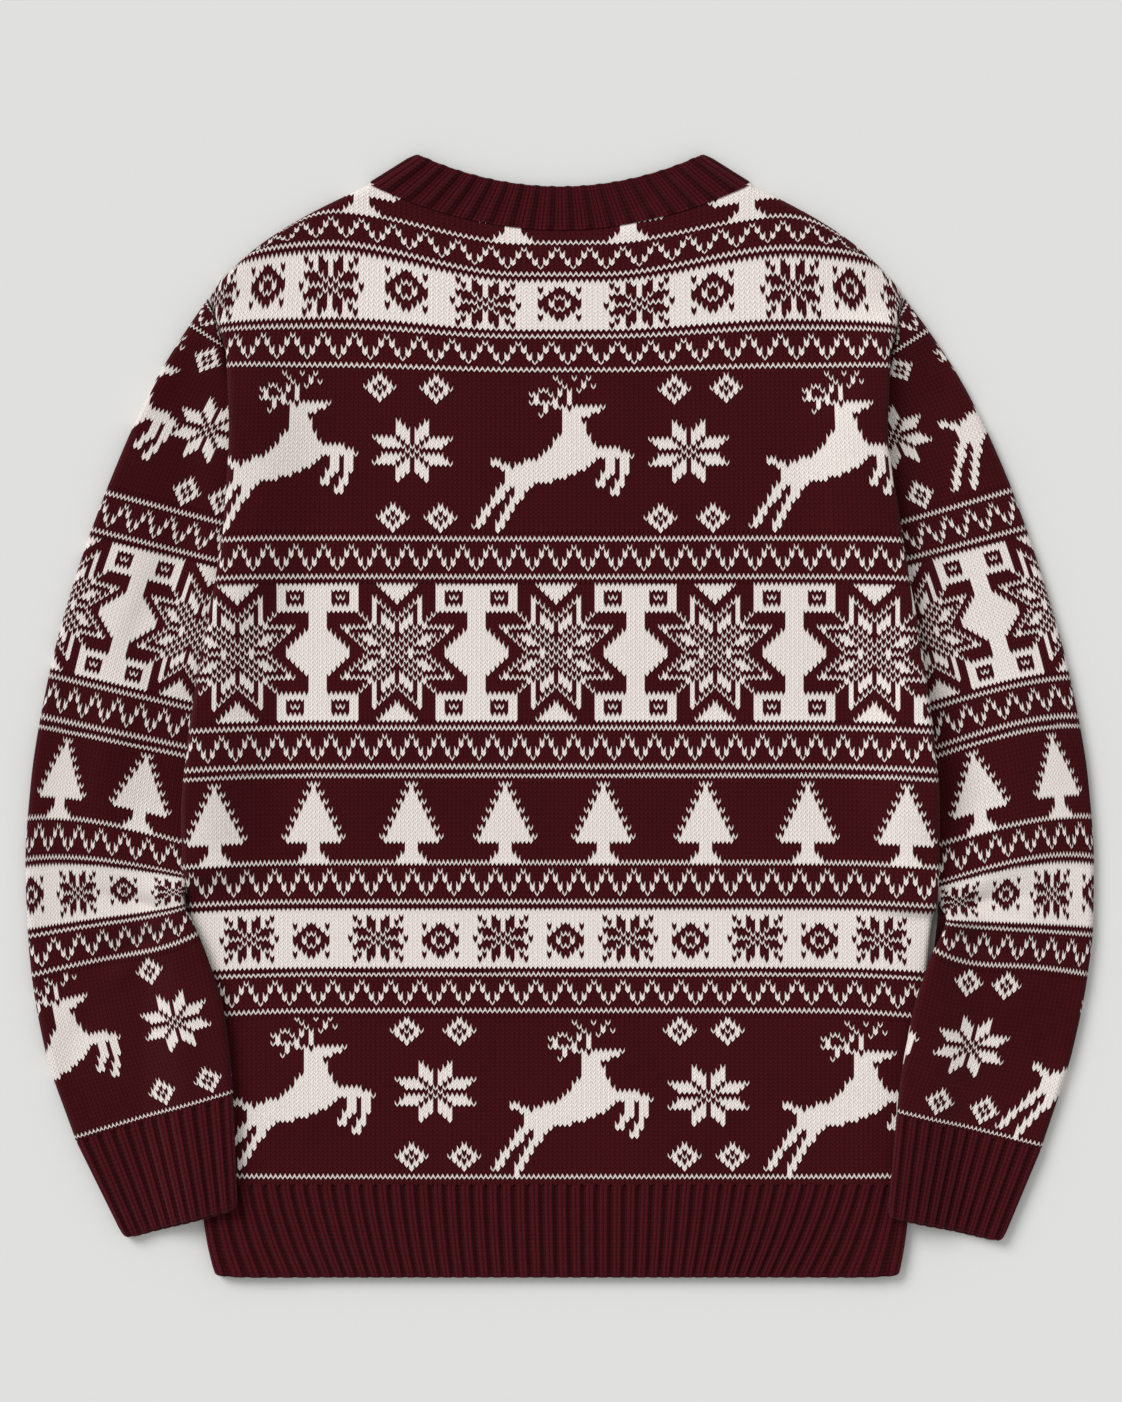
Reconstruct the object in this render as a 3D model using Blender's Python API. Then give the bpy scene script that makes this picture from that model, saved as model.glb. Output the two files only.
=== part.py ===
"""Knitted crew-neck sweater, laid flat on its front with its back up.

Each piece is a wall of knitted cloth: two body panels, two sleeves, and a ribbed
band at the neck, the hem and each wrist.  X runs across the body, Y from the hem
to the neck and Z up from the surface that the sweater lies on.  Sizes are in
millimetres, and `height` is measured up the garment from the edge of the hem.
"""

import math
from collections import namedtuple

import bmesh
import bpy

MM = 0.001

# Cloth
WALL = 3.0  # thickness of the knitted cloth
SEAM = 0.3  # gap between two pieces that are sewn together
LAP = 0.9  # gap between two layers that lie on each other
FOLD = 8.6  # a tube of cloth is this thick along its folded edges
FLAT = 7.6  # and this thick between them
FOLD_RADIUS = FOLD / 2
FOLD_EASE = 18.0  # width over which a tube thins from FOLD to FLAT

# Lengths up the body
LENGTH = 708.4  # hem edge to the top corners of the neckband
HEM_HEIGHT = 60.5
UNDERARM = 395.0
SHOULDER_TIP = 618.0
NECK_CORNER = 689.0

# Neck
NECK_HALF_WIDTH = 121.0  # at the seam, from corner to corner
NECK_FREE_HALF_WIDTH = 90.0  # at the band's free edge
NECK_FREE_CORNER = LENGTH
NECKBAND_HEIGHT = 30.0
BACK_NECK_DROP = 30.2
BACK_FREE_DROP = 20.2
FRONT_NECK_DROP = 80.0
FRONT_FREE_DROP = 68.0
SHOULDER_ROUNDING = 0.15  # how far the shoulder line bulges over a straight one
NECK_SAG = 1.5  # the back sinks by this much where no front lies under it
NECK_SAG_START = 2.0  # past the free edge of the front's band
NECK_SAG_REACH = 14.0

# Reaches of the soft ramps where one layer climbs over another
FRONT_RAMP = 24.0
BACK_RAMP = 52.0
SLEEVE_RAMP = 34.0
RAMP_MARGIN = 2.0

SLEEVE_OVER_FRONT = WALL + LAP
BACK_OVER_SLEEVE = SLEEVE_OVER_FRONT + FLAT + LAP + WALL

# How the body and the sleeve beside it are stacked, at the body's side edge
Order = namedtuple("Order", "front_lift back_top sleeve_lift closed")
LEVEL = Order(front_lift=0.0, back_top=FOLD, sleeve_lift=0.0, closed=0.0)
BETWEEN = Order(0.0, back_top=BACK_OVER_SLEEVE, sleeve_lift=SLEEVE_OVER_FRONT, closed=0.0)
UNDER = Order(front_lift=FOLD + LAP, back_top=2 * FOLD + LAP, sleeve_lift=0.0, closed=1.0)
OVER = Order(front_lift=0.0, back_top=FOLD, sleeve_lift=FOLD + LAP, closed=1.0)

APART = -0.9  # overlap where the sleeve's edge runs just beside the body's

# Side edge of the body, a row for each height: the edge's distance from the centre
# line, how far the sleeve's inner edge reaches inside it, and the stacking order.
LEFT_SIDE = (
    # height, edge, overlap, order
    (0.0, 217.5, 22.0, OVER),
    (24.0, 223.0, 22.0, OVER),
    (60.5, 227.5, 24.0, OVER),
    (112.0, 229.5, 24.0, OVER),
    (167.0, 231.0, 20.0, OVER),
    (206.0, 233.0, 10.0, OVER),
    (226.0, 234.5, 3.0, OVER),
    (238.0, 235.5, APART, OVER),
    (262.0, 237.0, APART, UNDER),
    (292.0, 237.5, 9.0, UNDER),
    (335.0, 233.5, 9.0, UNDER),
    (362.0, 230.0, APART, UNDER),
    (384.0, 226.5, APART, BETWEEN),
    (410.0, 222.0, APART, BETWEEN),
    (440.0, 216.0, 12.0, BETWEEN),
    (481.0, 210.5, 14.0, BETWEEN),
    (534.0, 207.5, 12.0, BETWEEN),
    (580.0, 209.5, APART, BETWEEN),
    (592.0, 212.5, APART, BETWEEN),
    (618.0, 221.0, APART, LEVEL),
)
RIGHT_SIDE = (
    # height, edge, overlap, order
    (0.0, 214.0, 13.0, OVER),
    (24.0, 218.0, 13.0, OVER),
    (60.5, 221.5, 14.0, OVER),
    (112.0, 226.0, 13.5, OVER),
    (167.0, 230.0, 8.5, OVER),
    (190.0, 231.5, 3.0, OVER),
    (204.0, 232.5, APART, OVER),
    (226.0, 235.0, -8.0, OVER),
    (236.0, 236.5, -2.5, UNDER),
    (262.0, 238.0, APART, UNDER),
    (292.0, 238.0, 9.0, UNDER),
    (335.0, 235.0, 9.0, UNDER),
    (362.0, 231.5, APART, UNDER),
    (384.0, 228.5, APART, BETWEEN),
    (410.0, 224.5, APART, BETWEEN),
    (440.0, 219.0, 12.0, BETWEEN),
    (481.0, 212.5, 14.0, BETWEEN),
    (534.0, 205.5, 12.0, BETWEEN),
    (580.0, 207.5, APART, BETWEEN),
    (592.0, 210.0, APART, BETWEEN),
    (618.0, 216.5, APART, LEVEL),
)

# A sleeve's sections, from the armhole to the wristband: the outer edge's distance
# from the centre line and its height, and the height of the inner edge.
LEFT_SLEEVE = (
    # section, outer, outer_height, inner_height
    (0.0, 222.0, 617.0, UNDERARM),
    (1.0, 251.5, 572.0, 389.0),
    (2.0, 280.5, 510.0, 379.0),
    (3.0, 307.5, 435.0, 366.0),
    (4.0, 323.0, 376.0, 346.0),
    (5.0, 333.5, 313.0, 292.0),
    (6.0, 337.0, 262.0, 250.0),
    (7.0, 335.5, 218.0, 227.0),
    (8.0, 333.0, 190.0, 212.0),
    (9.0, 324.5, 143.0, 168.0),
    (10.0, 305.5, 87.0, 113.5),
)
RIGHT_SLEEVE = (
    # section, outer, outer_height, inner_height
    (0.0, 217.5, 617.0, UNDERARM),
    (1.0, 249.0, 572.0, 389.0),
    (2.0, 279.5, 510.0, 379.0),
    (3.0, 306.0, 435.0, 366.0),
    (4.0, 322.0, 376.0, 346.0),
    (5.0, 333.0, 313.0, 292.0),
    (6.0, 336.5, 262.0, 247.0),
    (7.0, 336.0, 222.0, 223.0),
    (8.0, 332.5, 190.0, 207.0),
    (9.0, 323.0, 143.0, 162.0),
    (10.0, 304.0, 85.5, 104.5),
)
# A wristband's free edge: outer distance and height, then the inner edge's height
LEFT_WRIST = (274.0, 23.5, 43.5)
RIGHT_WRIST = (279.0, 23.5, 35.5)
WRISTBAND_HEIGHT = 64.0

YARN = (0.045, 0.006, 0.009, 1.0)
RIB_YARN = (0.036, 0.005, 0.008, 1.0)


# ---------------------------------------------------------------- curves


def lerp(start, end, share):
    return start + (end - start) * share


def ease(share):
    """0 to 1 with level ends."""
    share = min(1.0, max(0.0, share))
    return share * share * (3 - 2 * share)


def through(rows, column, place):
    """A column's value at a place along the first column, on a curve with no overshoot."""
    last = len(rows) - 2
    index = next((i for i in range(last) if place < rows[i + 1][0]), last)
    before, after = rows[index], rows[index + 1]
    step = after[0] - before[0]
    share = min(1.0, max(0.0, (place - before[0]) / step))
    start = slope_at(rows, column, index) * step
    end = slope_at(rows, column, index + 1) * step
    cube, square = share**3, share**2
    return (
        before[column] * (2 * cube - 3 * square + 1)
        + start * (cube - 2 * square + share)
        + after[column] * (3 * square - 2 * cube)
        + end * (cube - square)
    )


def slope_at(rows, column, index):
    """The slope of the curve at a row: level at a peak, and the harmonic mean elsewhere."""
    slopes = []
    for i in (index - 1, index):
        if 0 <= i < len(rows) - 1:
            rise = rows[i + 1][column] - rows[i][column]
            slopes.append(rise / (rows[i + 1][0] - rows[i][0]))
    if len(slopes) == 1:
        return slopes[0]
    if slopes[0] * slopes[1] <= 0:
        return 0.0
    return 2 * slopes[0] * slopes[1] / (slopes[0] + slopes[1])


def patch(u, v, bottom, top, left, right):
    """A point of the sheet that four edge curves hold (a Coons patch)."""
    corners = (
        ((1 - u) * (1 - v), bottom(0.0)),
        (u * (1 - v), bottom(1.0)),
        ((1 - u) * v, top(0.0)),
        (u * v, top(1.0)),
    )
    point = []
    for axis in (0, 1):
        value = (1 - v) * bottom(u)[axis] + v * top(u)[axis]
        value += (1 - u) * left(v)[axis] + u * right(v)[axis]
        value -= sum(weight * corner[axis] for weight, corner in corners)
        point.append(value)
    return tuple(point)


# ---------------------------------------------------------------- stacking


class Side:
    """One side of the garment: -1 is the left of the plan, +1 the right."""

    def __init__(self, sign, rows, sleeve_rows, wrist):
        self.sign = sign
        self.rows = tuple(row[:3] + tuple(row[3]) for row in rows)
        self.sleeve_rows = sleeve_rows
        self.wrist = wrist

    def edge(self, height):
        return self.sign * through(self.rows, 1, height)

    def overlap(self, height):
        return through(self.rows, 2, height)

    def stack(self, height):
        return Order(*(through(self.rows, column, height) for column in (3, 4, 5, 6)))

    def sleeve_edge(self, height):
        """The sleeve's inner edge, or its armhole edge above the underarm."""
        return self.edge(height) - self.sign * self.overlap(height)

    def inside(self, x, height):
        """How far a point lies inside the body's side edge."""
        return self.sign * (self.edge(height) - x)

    def body_share(self, x, height, reach):
        """1 over the sleeve's tucked edge, fading to 0 towards the middle of the body."""
        start = max(0.0, self.overlap(height)) + RAMP_MARGIN
        return 1 - ease((self.inside(x, height) - start) / reach)

    def sleeve_base(self, x, height):
        """Underside of the sleeve, which climbs on to the body's edge."""
        share = 1 - ease((-self.inside(x, height) - RAMP_MARGIN) / SLEEVE_RAMP)
        return self.stack(height).sleeve_lift * share


LEFT = Side(-1, LEFT_SIDE, LEFT_SLEEVE, LEFT_WRIST)
RIGHT = Side(1, RIGHT_SIDE, RIGHT_SLEEVE, RIGHT_WRIST)


def nearer_side(x):
    return LEFT if x < 0 else RIGHT


def body_base(x, height):
    """Underside of the front panel."""
    side = nearer_side(x)
    return side.stack(height).front_lift * side.body_share(x, height, FRONT_RAMP)


def body_top(x, height):
    """Upper side of the back panel."""
    side = nearer_side(x)
    lift = side.stack(height).back_top - FLAT
    return middle_top(x, height) + lift * side.body_share(x, height, BACK_RAMP)


def middle_top(x, height):
    """Upper side of the garment away from its edges, sunk a little over the neck opening."""
    front_edge = neck_line(x, NECK_FREE_HALF_WIDTH, NECK_FREE_CORNER, FRONT_FREE_DROP)
    past_edge = height - front_edge - NECK_SAG_START
    return FLAT - NECK_SAG * ease(past_edge / NECK_SAG_REACH)


# ---------------------------------------------------------------- outlines


def neck_line(x, half_width, corner, drop):
    """Height of a neckline that dips as a parabola between its corners."""
    return corner - drop * (1 - (x / half_width) ** 2)


def shoulder_line(x):
    side = nearer_side(x)
    tip = abs(side.edge(SHOULDER_TIP))
    share = (tip - abs(x)) / (tip - NECK_HALF_WIDTH)
    share = min(1.0, max(0.0, share))
    rounding = SHOULDER_ROUNDING * math.sin(math.pi * share**0.7)
    return lerp(SHOULDER_TIP, NECK_CORNER, share + rounding)


def top_line(x, neck_drop):
    if abs(x) < NECK_HALF_WIDTH:
        return neck_line(x, NECK_HALF_WIDTH, NECK_CORNER, neck_drop)
    return shoulder_line(x)


def body_plan(u, v, neck_drop):
    """Plan point of a body panel: u runs left to right, v from the hem seam up."""
    foot = HEM_HEIGHT + SEAM / 2
    tips = LEFT.edge(SHOULDER_TIP), RIGHT.edge(SHOULDER_TIP)
    feet = LEFT.edge(foot), RIGHT.edge(foot)

    def bottom(share):
        return lerp(*feet, share), foot

    def top(share):
        x = lerp(*tips, share)
        return x, top_line(x, neck_drop)

    def edge(side):
        def point(share):
            height = lerp(foot, SHOULDER_TIP, share)
            return side.edge(height), height

        return point

    return patch(u, v, bottom, top, edge(LEFT), edge(RIGHT))


# ---------------------------------------------------------------- solids

FoldStep = namedtuple("FoldStep", "outer inner rise")


def fold_steps():
    """Offsets from a folded edge of the wall's two faces, with the rise towards the flat."""
    steps = []
    for degrees in (0, 30, 60, 90):
        turn = math.radians(degrees)
        outer = FOLD_RADIUS * (1 - math.cos(turn))
        inner = FOLD_RADIUS - (FOLD_RADIUS - WALL) * math.cos(turn)
        steps.append(FoldStep(outer, inner, math.sin(turn)))
    return steps


def across_steps(width, flats):
    """Stations from one folded edge to the other, as shares of the width."""
    near = [FoldStep(s.outer / width, s.inner / width, s.rise) for s in fold_steps()]
    far = [FoldStep(1 - s.outer, 1 - s.inner, s.rise) for s in reversed(near)]
    return near + [FoldStep(share, share, 1.0) for share in flats] + far


def make_object(name, points, faces, colour):
    mesh = bpy.data.meshes.new(name)
    mesh.from_pydata([tuple(value * MM for value in point) for point in points], [], faces)
    shell = bmesh.new()
    shell.from_mesh(mesh)
    bmesh.ops.recalc_face_normals(shell, faces=shell.faces)
    shell.to_mesh(mesh)
    shell.free()
    mesh.shade_smooth()
    mesh.set_sharp_from_angle(angle=math.radians(50))
    mesh.materials.append(knit_material(name + "_knit", colour))
    obj = bpy.data.objects.new(name, mesh)
    bpy.context.scene.collection.objects.link(obj)
    return obj


def knit_material(name, colour):
    material = bpy.data.materials.new(name)
    material.use_nodes = True
    shader = material.node_tree.nodes["Principled BSDF"]
    shader.inputs["Base Color"].default_value = colour
    shader.inputs["Roughness"].default_value = 0.9
    shader.inputs["Metallic"].default_value = 0.0
    return material


def placed(x, height, z):
    return x, height - LENGTH / 2, z


def wall_faces(rows, columns, ring):
    """Faces of a wall whose outer and inner grids of points follow each other."""
    size = rows * columns
    faces = []
    spans = columns if ring else columns - 1
    for row in range(rows - 1):
        for column in range(spans):
            after = (column + 1) % columns
            low, high = row * columns, (row + 1) * columns
            outer = (low + column, low + after, high + after, high + column)
            faces.append(outer)
            faces.append(tuple(size + index for index in reversed(outer)))
    for row, turn in ((0, -1), (rows - 1, 1)):
        for column in range(spans):
            start, end = row * columns + column, row * columns + (column + 1) % columns
            faces.append((start, end, size + end, size + start)[::turn])
    if not ring:
        for column, turn in ((0, 1), (columns - 1, -1)):
            for row in range(rows - 1):
                low, high = row * columns + column, (row + 1) * columns + column
                faces.append((low, high, size + high, size + low)[::turn])
    return faces


def make_tube(name, plan, along, flats, base, top, colour):
    """A flattened tube. plan(s, t, face) gives a plan point, s along it and t from
    one folded edge to the other; face is +1 on the upper layer and -1 on the lower."""
    outer, inner = [], []
    for s in along:
        width = math.dist(plan(s, 0.0, 1), plan(s, 1.0, 1))
        upper = across_steps(width, flats)
        ring = [(step, 1) for step in upper]
        ring += [(step, -1) for step in upper[-2:0:-1]]
        for step, face in ring:
            for points, share, wall in ((outer, step.outer, 0.0), (inner, step.inner, WALL)):
                x, height = plan(s, share, face)
                depth = min(share, 1 - share) * width
                low, high = base(x, height), top(x, height, depth)
                half = (high - low) / 2 - wall
                points.append(placed(x, height, (low + high) / 2 + face * step.rise * half))
    columns = len(ring)
    faces = wall_faces(len(along), columns, ring=True)
    return make_object(name, outer + inner, faces, colour)


# ---------------------------------------------------------------- body panels

PANEL_FLATS = (0.04, 0.08, 0.135, 0.19)
NECK_FLATS = (0.07, 0.15, 0.25, 0.375, 0.5, 0.625, 0.75, 0.85, 0.93)
SIDE_HEIGHTS = (112, 167, 206, 226, 238, 250, 262, 292, 335, 362, 373, 384)
ARMHOLE_HEIGHTS = (397, 410, 425, 440, 481, 534, 560, 580, 592, 604)
Column = namedtuple("Column", "outer inner rise neck")


def neck_steps():
    return across_steps(2 * NECK_HALF_WIDTH, NECK_FLATS)


def panel_columns():
    """Stations across a panel; `neck` is the rise of the neckband's fold above them."""
    left, right = LEFT.edge(SHOULDER_TIP), RIGHT.edge(SHOULDER_TIP)
    width = right - left
    flats = list(PANEL_FLATS) + [1 - share for share in reversed(PANEL_FLATS)]
    columns = [Column(*step, 0.0) for step in across_steps(width, flats)]
    middle = len(columns) // 2
    neck = []
    for step in neck_steps():
        share = (lerp(-NECK_HALF_WIDTH, NECK_HALF_WIDTH, step.outer) - left) / width
        neck.append(Column(share, share, 1.0, step.rise))
    return columns[:middle] + neck + columns[middle:]


def panel_rows():
    """Stations up a panel: plain at the hem seam, folded at the shoulders."""
    length = SHOULDER_TIP - HEM_HEIGHT
    rows = [FoldStep(0.0, 0.0, 1.0)]
    for height in SIDE_HEIGHTS + ARMHOLE_HEIGHTS:
        share = (height - HEM_HEIGHT) / length
        rows.append(FoldStep(share, share, 1.0))
    for step in reversed(fold_steps()):
        rows.append(FoldStep(1 - step.outer / length, 1 - step.inner / length, step.rise))
    return rows


def panel_point(face, wall, row, column, neck_drop):
    """A point of a panel's outer face, or of its inner one where wall is its thickness."""
    side = LEFT if column.outer < 0.5 else RIGHT
    side_closed = side.stack(lerp(HEM_HEIGHT, SHOULDER_TIP, row.outer)).closed
    u, v = column.outer, row.outer
    if wall:
        u = lerp(u, column.inner, side_closed)
        v = lerp(v, row.inner, 1 - column.neck)
    x, height = body_plan(u, v, neck_drop)
    low, high = body_base(x, height), body_top(x, height)
    skin = (high if face > 0 else low) - face * wall
    top_rise = max(row.rise, column.neck)
    rise = min(column.rise, top_rise)
    closed = side_closed if column.rise < top_rise else 1.0
    plain_edge = skin - face * (0.0 if wall else WALL / 2)
    folded_edge = (low + high) / 2 + face * SEAM / 2
    return placed(x, height, lerp(lerp(plain_edge, folded_edge, closed), skin, rise))


def make_panel(name, face, neck_drop):
    """A body panel: face is +1 for the back, which lies uppermost, and -1 for the front."""
    rows, columns = panel_rows(), panel_columns()
    points = [
        panel_point(face, wall, row, column, neck_drop)
        for wall in (0.0, WALL)
        for row in rows
        for column in columns
    ]
    faces = wall_faces(len(rows), len(columns), ring=False)
    return make_object(name, points, faces, YARN)


# ---------------------------------------------------------------- bands and sleeves

TUBE_FLATS = (0.15, 0.32, 0.5, 0.68, 0.85)
HEM_FLATS = (0.05, 0.12, 0.25, 0.4, 0.5, 0.6, 0.75, 0.88, 0.95)
BAND_ROWS = (0.0, 0.33, 0.67, 1.0)
ARMHOLE_SECTIONS = (0.0, 0.25, 0.6)
UPPER_SECTIONS = tuple(1.0 + 0.5 * step for step in range(9))
CROSSING_SECTIONS = (5.4, 5.7, 6.0, 6.3, 6.6)
LOWER_SECTIONS = tuple(7.0 + 0.5 * step for step in range(7))
SLEEVE_SECTIONS = ARMHOLE_SECTIONS + UPPER_SECTIONS + CROSSING_SECTIONS + LOWER_SECTIONS


def make_hem():
    def plan(s, t, face):
        height = lerp(HEM_HEIGHT - SEAM / 2, 0.0, s)
        return lerp(LEFT.edge(height), RIGHT.edge(height), t), height

    def top(x, height, depth):
        return body_top(x, height)

    return make_tube("hem_rib", plan, BAND_ROWS, HEM_FLATS, body_base, top, RIB_YARN)


def make_neckband():
    back_drops = BACK_NECK_DROP, BACK_FREE_DROP
    front_drops = FRONT_NECK_DROP, FRONT_FREE_DROP

    def plan(s, t, face):
        s = lerp(SEAM / NECKBAND_HEIGHT, 1.0, s)
        drops = back_drops if face > 0 else front_drops
        half_width = lerp(NECK_HALF_WIDTH, NECK_FREE_HALF_WIDTH, s)
        corner = lerp(NECK_CORNER, NECK_FREE_CORNER, s)
        x = lerp(-half_width, half_width, t)
        return x, neck_line(x, half_width, corner, lerp(*drops, s))

    def base(x, height):
        return 0.0

    def top(x, height, depth):
        return middle_top(x, height)

    return make_tube("neckband", plan, BAND_ROWS, NECK_FLATS, base, top, RIB_YARN)


def sleeve_thickness(depth):
    return FOLD - (FOLD - FLAT) * ease(depth / FOLD_EASE)


def make_sleeve(name, side):
    last = side.sleeve_rows[-1][0]

    def outer_edge(share):
        section = share * last
        x = side.sign * through(side.sleeve_rows, 1, section)
        return x, through(side.sleeve_rows, 2, section)

    def inner_edge(share):
        height = through(side.sleeve_rows, 3, share * last)
        return side.sleeve_edge(height), height

    def armhole(share):
        height = lerp(outer_edge(0.0)[1], UNDERARM, share)
        return side.sleeve_edge(height), height

    def wrist(share):
        ends = outer_edge(1.0), inner_edge(1.0)
        return lerp(ends[0][0], ends[1][0], share), lerp(ends[0][1], ends[1][1], share)

    def plan(s, t, face):
        return patch(t, s / last, armhole, wrist, outer_edge, inner_edge)

    def top(x, height, depth):
        return side.sleeve_base(x, height) + sleeve_thickness(depth)

    return make_tube(name, plan, SLEEVE_SECTIONS, TUBE_FLATS, side.sleeve_base, top, YARN)


def make_wristband(name, side):
    """The ribbed band on from the sleeve's last section to its free edge."""
    seam = side.sleeve_rows[-1]
    seam_ends = (side.sign * seam[1], seam[2]), (side.sleeve_edge(seam[3]), seam[3])
    free_outer, outer_height, inner_height = side.wrist
    free_inner = side.sleeve_edge(inner_height)
    free_ends = (side.sign * free_outer, outer_height), (free_inner, inner_height)

    def plan(s, t, face):
        s = lerp(SEAM / WRISTBAND_HEIGHT, 1.0, s)
        outer = [lerp(*pair, s) for pair in zip(seam_ends[0], free_ends[0])]
        inner = [lerp(*pair, s) for pair in zip(seam_ends[1], free_ends[1])]
        return lerp(outer[0], inner[0], t), lerp(outer[1], inner[1], t)

    def top(x, height, depth):
        return side.sleeve_base(x, height) + sleeve_thickness(depth)

    return make_tube(name, plan, BAND_ROWS, TUBE_FLATS, side.sleeve_base, top, RIB_YARN)


def clear_scene():
    for obj in list(bpy.data.objects):
        bpy.data.objects.remove(obj, do_unlink=True)


def main():
    clear_scene()
    make_panel("back_panel", 1, BACK_NECK_DROP)
    make_panel("front_panel", -1, FRONT_NECK_DROP)
    make_sleeve("sleeve_left", LEFT)
    make_sleeve("sleeve_right", RIGHT)
    make_neckband()
    make_hem()
    make_wristband("wristband_left", LEFT)
    make_wristband("wristband_right", RIGHT)


main()
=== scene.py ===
"""Knitted crew-neck sweater, laid flat with its back up.

The jacquard panels and sleeves are made stitch by stitch from charts, and the bands at
the neck, hem and wrists are ribbed.  Plan sizes are in millimetres: x runs across the
body, and `height` is measured up the garment from the edge of the hem.  A course is a
row of stitches, counted down from the first light line under the neck, and a wale is a
column of stitches.
"""

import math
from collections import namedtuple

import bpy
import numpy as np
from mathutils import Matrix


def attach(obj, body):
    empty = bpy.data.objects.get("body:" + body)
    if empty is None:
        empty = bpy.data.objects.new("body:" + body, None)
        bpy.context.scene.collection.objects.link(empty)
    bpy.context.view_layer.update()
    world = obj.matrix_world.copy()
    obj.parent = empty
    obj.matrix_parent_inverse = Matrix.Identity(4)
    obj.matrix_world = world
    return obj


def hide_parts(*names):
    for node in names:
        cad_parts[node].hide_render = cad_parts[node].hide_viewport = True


bl_info = {
    "name": "Knitted sweater",
    "version": (1, 0, 0),
    "blender": (4, 5, 0),
    "location": "View3D > Sidebar > Sweater",
    "description": "Makes a jacquard sweater from charts, course by course",
    "category": "Object",
}

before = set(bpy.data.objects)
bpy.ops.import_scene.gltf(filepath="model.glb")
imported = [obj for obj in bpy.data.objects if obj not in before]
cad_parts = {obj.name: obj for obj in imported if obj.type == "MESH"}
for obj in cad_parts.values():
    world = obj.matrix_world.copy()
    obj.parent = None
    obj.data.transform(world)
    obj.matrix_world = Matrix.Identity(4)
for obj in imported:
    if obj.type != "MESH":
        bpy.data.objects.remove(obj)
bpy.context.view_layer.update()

MM = 0.001

# Cloth, as in the model
WALL = 3.0
SEAM = 0.3
LAP = 0.9
FOLD = 8.6
FLAT = 7.6
FOLD_RADIUS = FOLD / 2
FOLD_EASE = 18.0
LENGTH = 708.4
HEM_HEIGHT = 60.5
UNDERARM = 395.0
SHOULDER_TIP = 618.0
NECK_CORNER = 689.0
NECK_HALF_WIDTH = 121.0
NECK_FREE_HALF_WIDTH = 90.0
NECKBAND_HEIGHT = 30.0
BACK_NECK_DROP = 28.8
BACK_FREE_DROP = 20.2
FRONT_NECK_DROP = 80.0
FRONT_FREE_DROP = 68.0
SHOULDER_ROUNDING, SHOULDER_LEAN = 0.15, 0.7
NECK_SAG = 1.5
NECK_SAG_START = 2.0
NECK_SAG_REACH = 14.0
FRONT_RAMP = 24.0
BACK_RAMP = 52.0
SLEEVE_RAMP = 34.0
RAMP_MARGIN = 2.0
SLEEVE_OVER_FRONT = WALL + LAP
BACK_OVER_SLEEVE = SLEEVE_OVER_FRONT + FLAT + LAP + WALL
WRISTBAND_HEIGHT = 64.0

# How the body and the sleeve beside it are stacked, at the body's side edge
Order = namedtuple("Order", "front_lift back_top sleeve_lift closed")
LEVEL = Order(front_lift=0.0, back_top=FOLD, sleeve_lift=0.0, closed=0.0)
BETWEEN = Order(0.0, back_top=BACK_OVER_SLEEVE, sleeve_lift=SLEEVE_OVER_FRONT, closed=0.0)
UNDER = Order(front_lift=FOLD + LAP, back_top=2 * FOLD + LAP, sleeve_lift=0.0, closed=1.0)
OVER = Order(front_lift=0.0, back_top=FOLD, sleeve_lift=FOLD + LAP, closed=1.0)
APART = -0.9

LEFT_SIDE = (
    # height, edge, overlap, order
    (0, 217.5, 22, OVER),
    (24, 223, 22, OVER),
    (60.5, 227.5, 24, OVER),
    (112, 229.5, 24, OVER),
    (167, 231, 20, OVER),
    (206, 233, 10, OVER),
    (226, 234.5, 3, OVER),
    (238, 235.5, APART, OVER),
    (262, 237, 5, UNDER),
    (292, 237.5, 9, UNDER),
    (335, 233.5, 9, UNDER),
    (362, 230, 5, UNDER),
    (384, 226.5, 3.5, BETWEEN),
    (410, 222, 6, BETWEEN),
    (440, 216, 12, BETWEEN),
    (481, 210.5, 14, BETWEEN),
    (534, 207.5, 12, BETWEEN),
    (580, 209.5, APART, BETWEEN),
    (592, 212.5, APART, BETWEEN),
    (618, 221, APART, LEVEL),
)
RIGHT_SIDE = (
    # height, edge, overlap, order
    (0, 214, 13, OVER),
    (24, 218, 13, OVER),
    (60.5, 221.5, 14, OVER),
    (112, 226, 13.5, OVER),
    (167, 230, 8.5, OVER),
    (190, 231.5, 3, OVER),
    (204, 232.5, APART, OVER),
    (226, 235, -8, OVER),
    (236, 236.5, -2.5, UNDER),
    (262, 238, 5, UNDER),
    (292, 238, 9, UNDER),
    (335, 235, 9, UNDER),
    (362, 231.5, 5, UNDER),
    (384, 228.5, 3.5, BETWEEN),
    (410, 224.5, 6, BETWEEN),
    (440, 219, 12, BETWEEN),
    (481, 212.5, 14, BETWEEN),
    (534, 205.5, 12, BETWEEN),
    (580, 207.5, APART, BETWEEN),
    (592, 210, APART, BETWEEN),
    (618, 216.5, APART, LEVEL),
)
SLEEVES = (
    # for the left and for the right sleeve: outer, outer_height, inner_height
    ((222, 617, UNDERARM), (217.5, 617, UNDERARM)),
    ((251.5, 572, 389), (249, 572, 389)),
    ((280.5, 510, 379), (279.5, 510, 379)),
    ((307.5, 435, 366), (306, 435, 366)),
    ((323, 376, 346), (322, 376, 346)),
    ((333.5, 313, 292), (333, 313, 292)),
    ((337, 262, 250), (336.5, 262, 247)),
    ((335.5, 218, 227), (336, 222, 223)),
    ((333, 190, 212), (332.5, 190, 207)),
    ((324.5, 143, 168), (323, 143, 162)),
    ((305.5, 87, 116.7), (303.5, 82, 104.5)),
)
# The wristbands' free edges: outer, outer_height, inner_height
LEFT_WRIST = (274, 23.5, 43.5)
RIGHT_WRIST = (278, 21.5, 38.5)

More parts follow.
